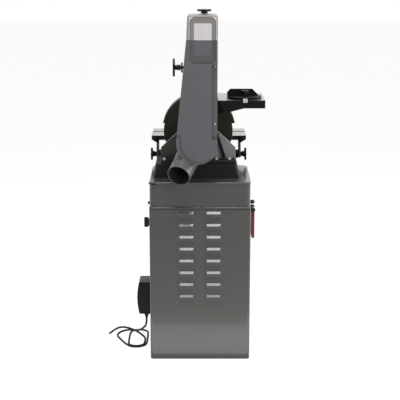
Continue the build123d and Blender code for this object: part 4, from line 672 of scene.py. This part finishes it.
# Strain relief: nut and ribbed taper where the cord leaves the starter
gland_low, gland_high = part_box("cord_gland")
GLAND_X = (gland_low.x + gland_high.x) / 2
GLAND_Y = (gland_low.y + gland_high.y) / 2
starter_low, starter_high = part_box("starter_cover")
shape = bmesh.new()
for x in (-0.262, -0.245, -0.231):
    turn_solid(shape, aim((x, starter_low.y + 0.028, starter_high.z), (0, 0, 1)), [
        (0.0052, -0.0004), (0.0052, 0.0004), (0.0058, 0.0007), (0.0066, 0.0004), (0.0066, -0.0004)], ring=True)
piece_from(shape, "starter_knockouts", black_plastic, "root")
RELIEF_RIBS = 5
relief = [(0, 0.009), (0.0079, 0.009), (0.0079, 0), (0.0110, 0, 6), (0.0110, -0.0085, 6), (0.0098, -0.009)]
rib_pitch = (starter_low.z - 0.009 - gland_low.z) / RELIEF_RIBS
for rib in range(RELIEF_RIBS):
    top = -0.009 - rib * rib_pitch
    r = 0.0094 - rib * 0.0009
    relief += [(r, top - 0.1 * rib_pitch), (r - 0.0004, top - 0.6 * rib_pitch), (r - 0.0018, top - 0.65 * rib_pitch),
               (r - 0.0018, top - 0.95 * rib_pitch)]
relief += [(0, gland_low.z - starter_low.z)]
shape = bmesh.new()
turn_solid(shape, aim((GLAND_X, GLAND_Y, starter_low.z), (0, 0, 1)), relief)
strain_relief = piece_from(shape, "strain_relief", black_plastic, "root")
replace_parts(strain_relief, "cord_gland")


# Floor, backdrop and studio light
def seen_share(tree):
    # 1 for what the camera sees directly, in gloss or through glass.
    light_path = tree.nodes.new("ShaderNodeLightPath")
    seen = math(tree, "MAXIMUM", light_path.outputs["Is Camera Ray"], light_path.outputs["Is Glossy Ray"])
    return math(tree, "MAXIMUM", seen, light_path.outputs["Is Transmission Ray"])


FLOOR_HALF = 30
FLOOR_GLOW = 0.75
FLOOR_WHITE = 1.23
floor_mesh = bpy.data.meshes.new("floor")
floor_mesh.from_pydata([(-FLOOR_HALF, -FLOOR_HALF, 0), (FLOOR_HALF, -FLOOR_HALF, 0), (FLOOR_HALF, FLOOR_HALF, 0),
                        (-FLOOR_HALF, FLOOR_HALF, 0)], [], [(0, 1, 2, 3)])
floor = bpy.data.objects.new("floor", floor_mesh)
floor.location.z = -0.0005
scene.collection.objects.link(floor)
floor_material = bpy.data.materials.new("floor")
floor_material.use_nodes = True
tree = floor_material.node_tree
tree.nodes.clear()
matte = add_node(tree, "ShaderNodeBsdfDiffuse", 0, None, Color=(0.92, 0.92, 0.92, 1))
glow = add_node(tree, "ShaderNodeEmission", 0, None, Color=(1, 1, 1, 1), Strength=FLOOR_WHITE)
share = math(tree, "MULTIPLY", seen_share(tree), FLOOR_GLOW)
both = add_node(tree, "ShaderNodeMixShader", 0, None, i0=share, i1=matte, i2=glow)
sock(tree, tree.nodes.new("ShaderNodeOutputMaterial"), "Surface", both)
floor_mesh.materials.append(floor_material)

world = bpy.data.worlds.new("studio")
scene.world = world
world.use_nodes = True
tree = world.node_tree
tree.nodes.clear()
dim = add_node(tree, "ShaderNodeBackground", 0, None, Color=(1, 1, 1, 1), Strength=0.15)
white = add_node(tree, "ShaderNodeBackground", 0, None, Color=(1, 1, 1, 1), Strength=1.0)
both = add_node(tree, "ShaderNodeMixShader", 0, None, i0=seen_share(tree), i1=dim, i2=white)
sock(tree, tree.nodes.new("ShaderNodeOutputWorld"), "Surface", both)


def softbox(name, place, target, size, power):
    lamp = bpy.data.lights.new(name, "AREA")
    lamp.shape = "RECTANGLE"
    lamp.size, lamp.size_y = size
    lamp.energy = power
    box = bpy.data.objects.new(name, lamp)
    box.location = place
    box.rotation_euler = (Vector(target) - Vector(place)).to_track_quat("-Z", "Y").to_euler()
    scene.collection.objects.link(box)


softbox("top_light", (0.1, -1.0, 4.0), (0.05, -0.2, 0.8), (1.6, 1.1), 70)
softbox("key_light", (2.6, -2.4, 3.0), (0, 0, 0.9), (1.0, 1.4), 60)
softbox("right_light", (3.0, 0.8, 1.8), (0, 0, 0.9), (1.2, 2.0), 52)
softbox("left_light", (-3.2, -0.4, 1.5), (0, 0, 0.8), (0.8, 2.0), 14)
softbox("floor_light", (0.05, -0.42, 0.012), (0.05, -0.41, 0.5), (1.3, 0.36), 2.3)
